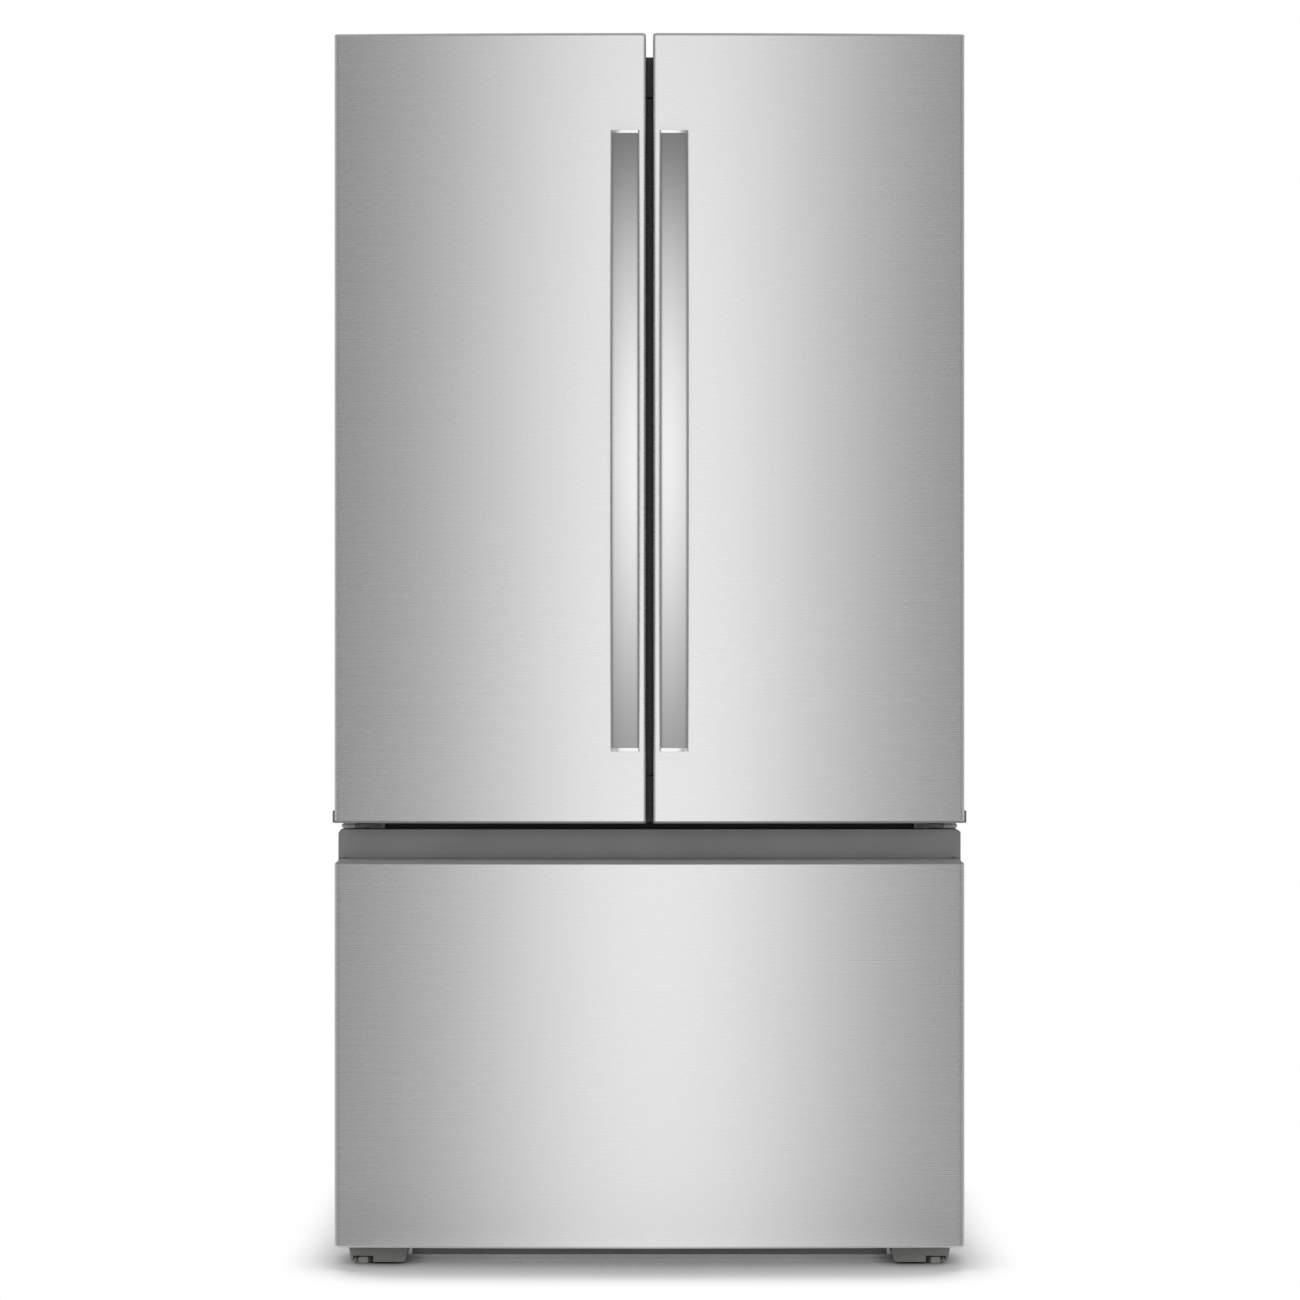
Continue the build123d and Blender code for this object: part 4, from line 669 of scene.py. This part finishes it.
# The grip along the drawer's top is one dark grey moulding: a bevelled lip, a finger trough and a
# back wall.
grip_plastic = moulded("grip_plastic", (0.103, 0.103, 0.104), 0.5, 1400, 0.05 * MM)
dress(grip_plastic, "drawer_grip", edge=0.6 * MM)

# The drawer runs on three-part telescopic slides of zinc-plated steel. The basket hangs on its
# bars, and the upper tray slides along the basket's rim.
dress(zinc, "drawer_rails", "freezer_slides", "slide_middles", edge=0.4 * MM)
dress(clear_plastic, "drawer_basket", "freezer_tray", edge=0.8 * MM)

# The shelves are tempered glass in white moulded frames, hooked into slotted steel tracks. Clear
# crispers stand on the floor under the full-width cover.
track_paint = moulded("track_paint", (0.80, 0.81, 0.82), 0.35, 800, 0.04 * MM)
dress(track_paint, "shelf_tracks", edge=0.3 * MM)
dress(liner_white, "shelf_frames", edge=1 * MM)
pane, wire, shader = finish("shelf_pane", (0.80, 0.92, 0.88), 0.02, IOR=1.5, Alpha=0.28)
smears = noise(wire, 25, 4)
(0.01 + smears * 0.07).feed(shader, "Roughness")
dress(pane, "shelf_glass", edge=0.5 * MM)
dress(clear_plastic, "left_crisper", "right_crisper", edge=0.8 * MM)

# The ceiling light's lens is one opal moulding with prism ribs along it and rounded edges, held
# up against the liner's ceiling.
lens, wire, shader = finish("light_lens", (0.93, 0.93, 0.90), 0.35)
frost = noise(wire, 500, 2)
(0.30 + frost * 0.15).feed(shader, "Roughness")
bump(wire, shader, frost, 0.04 * MM)
low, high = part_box("ceiling_light")
ribs = 14
rib_depth = 0.9 * MM
edge_radius = 5 * MM
rings = []
for share, drop in ((0.0, 0.45), (0.006, 0.8), (0.018, 1.0), (0.982, 1.0), (0.994, 0.8), (1.0, 0.45)):
    ring = []
    for i in range(2 * ribs + 1):
        y = low.y + (high.y - low.y) * i / (2 * ribs)
        round_off = min(1.0, min(y - low.y, high.y - y) / edge_radius)
        body_depth = math.sqrt(1 - (1 - round_off) ** 2) * (high.z - low.z - rib_depth)
        rib = rib_depth * (i % 2) * round_off
        ring.append((low.x + (high.x - low.x) * share, y, high.z - (body_depth + rib) * drop))
    rings.append(ring)
light = mesh_piece("ribbed_lens", loft(rings), lens, "cabinet", 20)
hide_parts("ceiling_light")

# The control panel is a glossy grey moulding under the ceiling, with a row of round touch pads on
# its sloping face.
panel_gloss = moulded("panel_gloss", (0.30, 0.31, 0.33), 0.15, 300, 0.01 * MM)
dress(panel_gloss, "control_panel", edge=1 * MM)
pad_print = moulded("pad_print", (0.72, 0.74, 0.76), 0.3, 900, 0.02 * MM)
low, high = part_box("control_panel")
slope_run = 0.3 * (high.y - low.y)
slope_drop = 0.6 * (high.z - low.z)
outward = Vector((0, -slope_drop, -slope_run)).normalized()
pad_profile = [(6 * MM, -0.1 * MM), (6 * MM, 0.2 * MM), (5.5 * MM, 0.3 * MM), (4.6 * MM, 0.3 * MM),
               (4.3 * MM, 0.1 * MM)]
pads = []
for share in (-0.7, -0.35, 0.0, 0.35, 0.7):
    spot = (share * high.x, low.y + slope_run / 2, low.z + slope_drop / 2)
    pads.append(turned(pad_profile, 28, spot, outward))
mesh_piece("touch_pads", joined(pads), pad_print, "cabinet")

# A moulded cover stands at each front corner, open round a levelling leg: a grey hex pad on a threaded steel
# stem, drawn as one piece in the grey leg plastic.
foot_plastic = moulded("foot_plastic", (0.090, 0.091, 0.093), 0.5, 1400, 0.05 * MM)
dress(foot_plastic, "foot_covers", edge=1.5 * MM)
leg_plastic = moulded("leg_plastic", (0.13, 0.13, 0.134), 0.45, 900, 0.03 * MM)


def threaded_leg(low, high):
    """A hex pad with eased edges and a stem with a real helical thread."""
    x = (low.x + high.x) / 2
    y = (low.y + high.y) / 2
    pad_height = 9 * MM
    pad_radius = 12.4 * MM
    ease = 0.8 * MM
    pad = turned([(pad_radius - ease, 0.0), (pad_radius, ease), (pad_radius, pad_height - ease),
                  (pad_radius - ease, pad_height)], 6, (x, y, low.z))
    stem_radius = 6 * MM
    pitch = 2 * MM
    groove = 0.7 * MM
    sides = 20
    steps = 80
    rings = []
    for i in range(steps + 1):
        z = low.z + pad_height + (high.z - low.z - pad_height) * i / steps
        ring = []
        for j in range(sides):
            turn = (z / pitch - j / sides) % 1.0
            radius = stem_radius - groove * abs(2 * turn - 1)
            a = 2 * math.pi * j / sides
            ring.append((x + radius * math.cos(a), y + radius * math.sin(a), z))
        rings.append(ring)
    return joined([pad, loft(rings)])


for node in ("left_leveling_leg", "right_leveling_leg"):
    name = node.replace("leveling_leg", "leg_screw")
    leg = mesh_piece(name, threaded_leg(*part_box(node)), leg_plastic, node, 30)
    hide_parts(node)

# The rear rollers are black plastic wheels with a grooved tread and a dished side, turning on
# axles riveted into the base pan's forks.
half_section = [(4.3, 0.0), (9.0, 0.0), (10.0, 1.5), (16.0, 1.5), (17.0, 0.0), (19.5, 0.0), (21.0, 1.5),
                (21.0, 6.0), (20.0, 6.8)]
width = 18.0
section = half_section + [(r, width - along) for r, along in reversed(half_section)]
for node in ("left_rear_roller", "right_rear_roller"):
    low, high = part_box(node)
    hub = (low.x, (low.y + high.y) / 2, (low.z + high.z) / 2)
    wheel = turned([(r * MM, along * MM) for r, along in section], 48, hub, (1, 0, 0), bored=True)
    name = node.replace("rear_roller", "roller_wheel")
    roller = mesh_piece(name, wheel, black_plastic, node)
    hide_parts(node)

# The floor is plain white and fades into the white background. What shows of it, to the eye and
# in the steel, is white but for the soft contact shadow under the object.
floor_mesh = bpy.data.meshes.new("floor")
span = 6.0
corners = [(-span, -span, 0), (span, -span, 0), (span, span, 0), (-span, span, 0)]
floor_mesh.from_pydata(corners, [], [(0, 1, 2, 3)])
floor = bpy.data.objects.new("floor", floor_mesh)
bpy.context.collection.objects.link(floor)
floor_paint = bpy.data.materials.new("floor_paint")
floor_paint.use_nodes = True
tree = floor_paint.node_tree
tree.nodes.clear()
wire = Wire(tree)


def smooth_step(wire, value, start, end):
    """Rises smoothly from 0 at start to 1 at end."""
    return wire.node("ShaderNodeMapRange", {"interpolation_type": "SMOOTHSTEP"},
                     {"Value": value, "From Min": start, "From Max": end})


spot = wire.node("ShaderNodeTexCoord", output="Object")
reach = wire.node("ShaderNodeVectorMath", {"operation": "LENGTH"}, {0: spot}, output="Value")
fade_start = 0.75
fade_end = 1.6
fade = smooth_step(wire, reach, fade_start, fade_end)
shelter_reach = 0.13
contact_reach = 0.032
shelter = wire.node("ShaderNodeAmbientOcclusion", {"samples": 16}, {"Distance": shelter_reach}, output="AO")
contact = wire.node("ShaderNodeAmbientOcclusion", {"samples": 16}, {"Distance": contact_reach}, output="AO")
shadow = shades(wire, shelter, [(0.0, 0.02), (0.93, 1.0), (0.065, 0.15), (0.085, 0.21), (0.11, 0.32),
                                (0.13, 0.345), (0.20, 0.385), (0.30, 0.42), (0.52, 0.48), (0.63, 0.58),
                                (0.70, 0.75), (0.75, 0.80), (0.86, 0.96)])
dimmed = wire.node("ShaderNodeVectorMath", {"operation": "SCALE"}, {0: shadow, "Scale": contact})
glow = wire.node("ShaderNodeEmission", {}, {"Color": dimmed})
matt = wire.node("ShaderNodeBsdfDiffuse", {}, {"Color": (0.85, 0.85, 0.85, 1)})
seen = wire.node("ShaderNodeLightPath", output="Is Camera Ray")
mirrored = wire.node("ShaderNodeLightPath", output="Is Glossy Ray")
open_floor = smooth_step(wire, shelter, 0.80, 0.95)
lit = wire.node("ShaderNodeMixShader", {}, {"Fac": seen + mirrored, 1: matt, 2: glow})
clear = wire.node("ShaderNodeBsdfTransparent")
gone = wire.math("MAXIMUM", fade, mirrored * open_floor)
mixed = wire.node("ShaderNodeMixShader", {}, {"Fac": gone, 1: lit, 2: clear})
output = tree.nodes.new("ShaderNodeOutputMaterial")
mixed.feed(output, "Surface")
floor_mesh.materials.append(floor_paint)

# The studio is white behind, with one tall soft window in front that the bowed steel mirrors, and
# pale panels above, below and at the sides.
world = bpy.data.worlds.new("studio")
bpy.context.scene.world = world
world.use_nodes = True
world.cycles.sampling_method = "NONE"
tree = world.node_tree
tree.nodes.clear()
wire = Wire(tree)
look = wire.node("ShaderNodeTexCoord", output="Generated")
across = wire.node("ShaderNodeSeparateXYZ", {}, {0: look}, output="X")
depth = wire.node("ShaderNodeSeparateXYZ", {}, {0: look}, output="Y")
height = wire.node("ShaderNodeSeparateXYZ", {}, {0: look}, output="Z")
front = 1 - smooth_step(wire, depth, -0.2, 0.3)
window_width = 0.128
window_height = 0.38
window_middle = 0.05
window_side = 0.006
window_across = wire.math("EXPONENT", -1.0 * ((across - window_side) * (1 / window_width)) ** 2, 0.0)
window_up = wire.math("EXPONENT", -1.0 * ((height - window_middle) * (1 / window_height)) ** 2, 0.0)
ceiling = smooth_step(wire, height, 0.78, 0.95)
window_top = 1 - smooth_step(wire, height, 0.34, 0.60)
ground = smooth_step(wire, 0 - height, 0.5, 0.92)
sides = smooth_step(wire, wire.math("ABSOLUTE", across, 0.0), 0.25, 0.6)
room_glow = 0.2
window_glow = 1.85
side_glow = 0.3
ground_glow = 2.0
rear_glow = 0.85
ceiling_glow = 1.7
window = window_across * window_up * window_top
ahead = front * (room_glow + window_glow * window + side_glow * sides + ground_glow * ground)
studio = ahead + (1 - front) * rear_glow + ceiling * ceiling_glow
seen = wire.node("ShaderNodeLightPath", output="Is Camera Ray")
mirrored = wire.node("ShaderNodeLightPath", output="Is Glossy Ray")
through = wire.node("ShaderNodeLightPath", output="Is Transmission Ray")
ambient = 0.75
level = seen + through + mirrored * studio + (1 - seen - mirrored - through) * ambient
sky = wire.node("ShaderNodeBackground", {}, {"Color": level})
output = tree.nodes.new("ShaderNodeOutputWorld")
sky.feed(output, "Surface")

lamp_size = 2.2
lamp_aim = Vector((0, 0, 0.7))
for name, spot, power in (("key", (-2.6, -3.4, 1.3), 120), ("fill", (2.8, -3.0, 1.1), 90)):
    lamp_data = bpy.data.lights.new(name, "AREA")
    lamp_data.shape = "DISK"
    lamp_data.size = lamp_size
    lamp_data.energy = power
    lamp = bpy.data.objects.new(name, lamp_data)
    lamp.location = spot
    lamp.rotation_mode = "QUATERNION"
    lamp.rotation_quaternion = (lamp_aim - Vector(spot)).to_track_quat("-Z", "Y")
    lamp.visible_glossy = False
    bpy.context.collection.objects.link(lamp)

# The camera stands level in front of the doors, four metres from their edges, and takes in the
# whole front with a margin round it.
camera_data = bpy.data.cameras.new("camera")
camera = bpy.data.objects.new("camera", camera_data)
bpy.context.collection.objects.link(camera)
stand_off = 4.0
view_width = 1.8635
view_side = 0.0007
view_height = 0.892
camera_data.sensor_width = 36.0
camera_data.lens = camera_data.sensor_width * stand_off / view_width
camera.location = (view_side, crest_y + front_bow - stand_off, view_height)
camera.rotation_euler = (math.pi / 2, 0, 0)
bpy.context.scene.camera = camera
bpy.context.scene.view_settings.view_transform = "Standard"
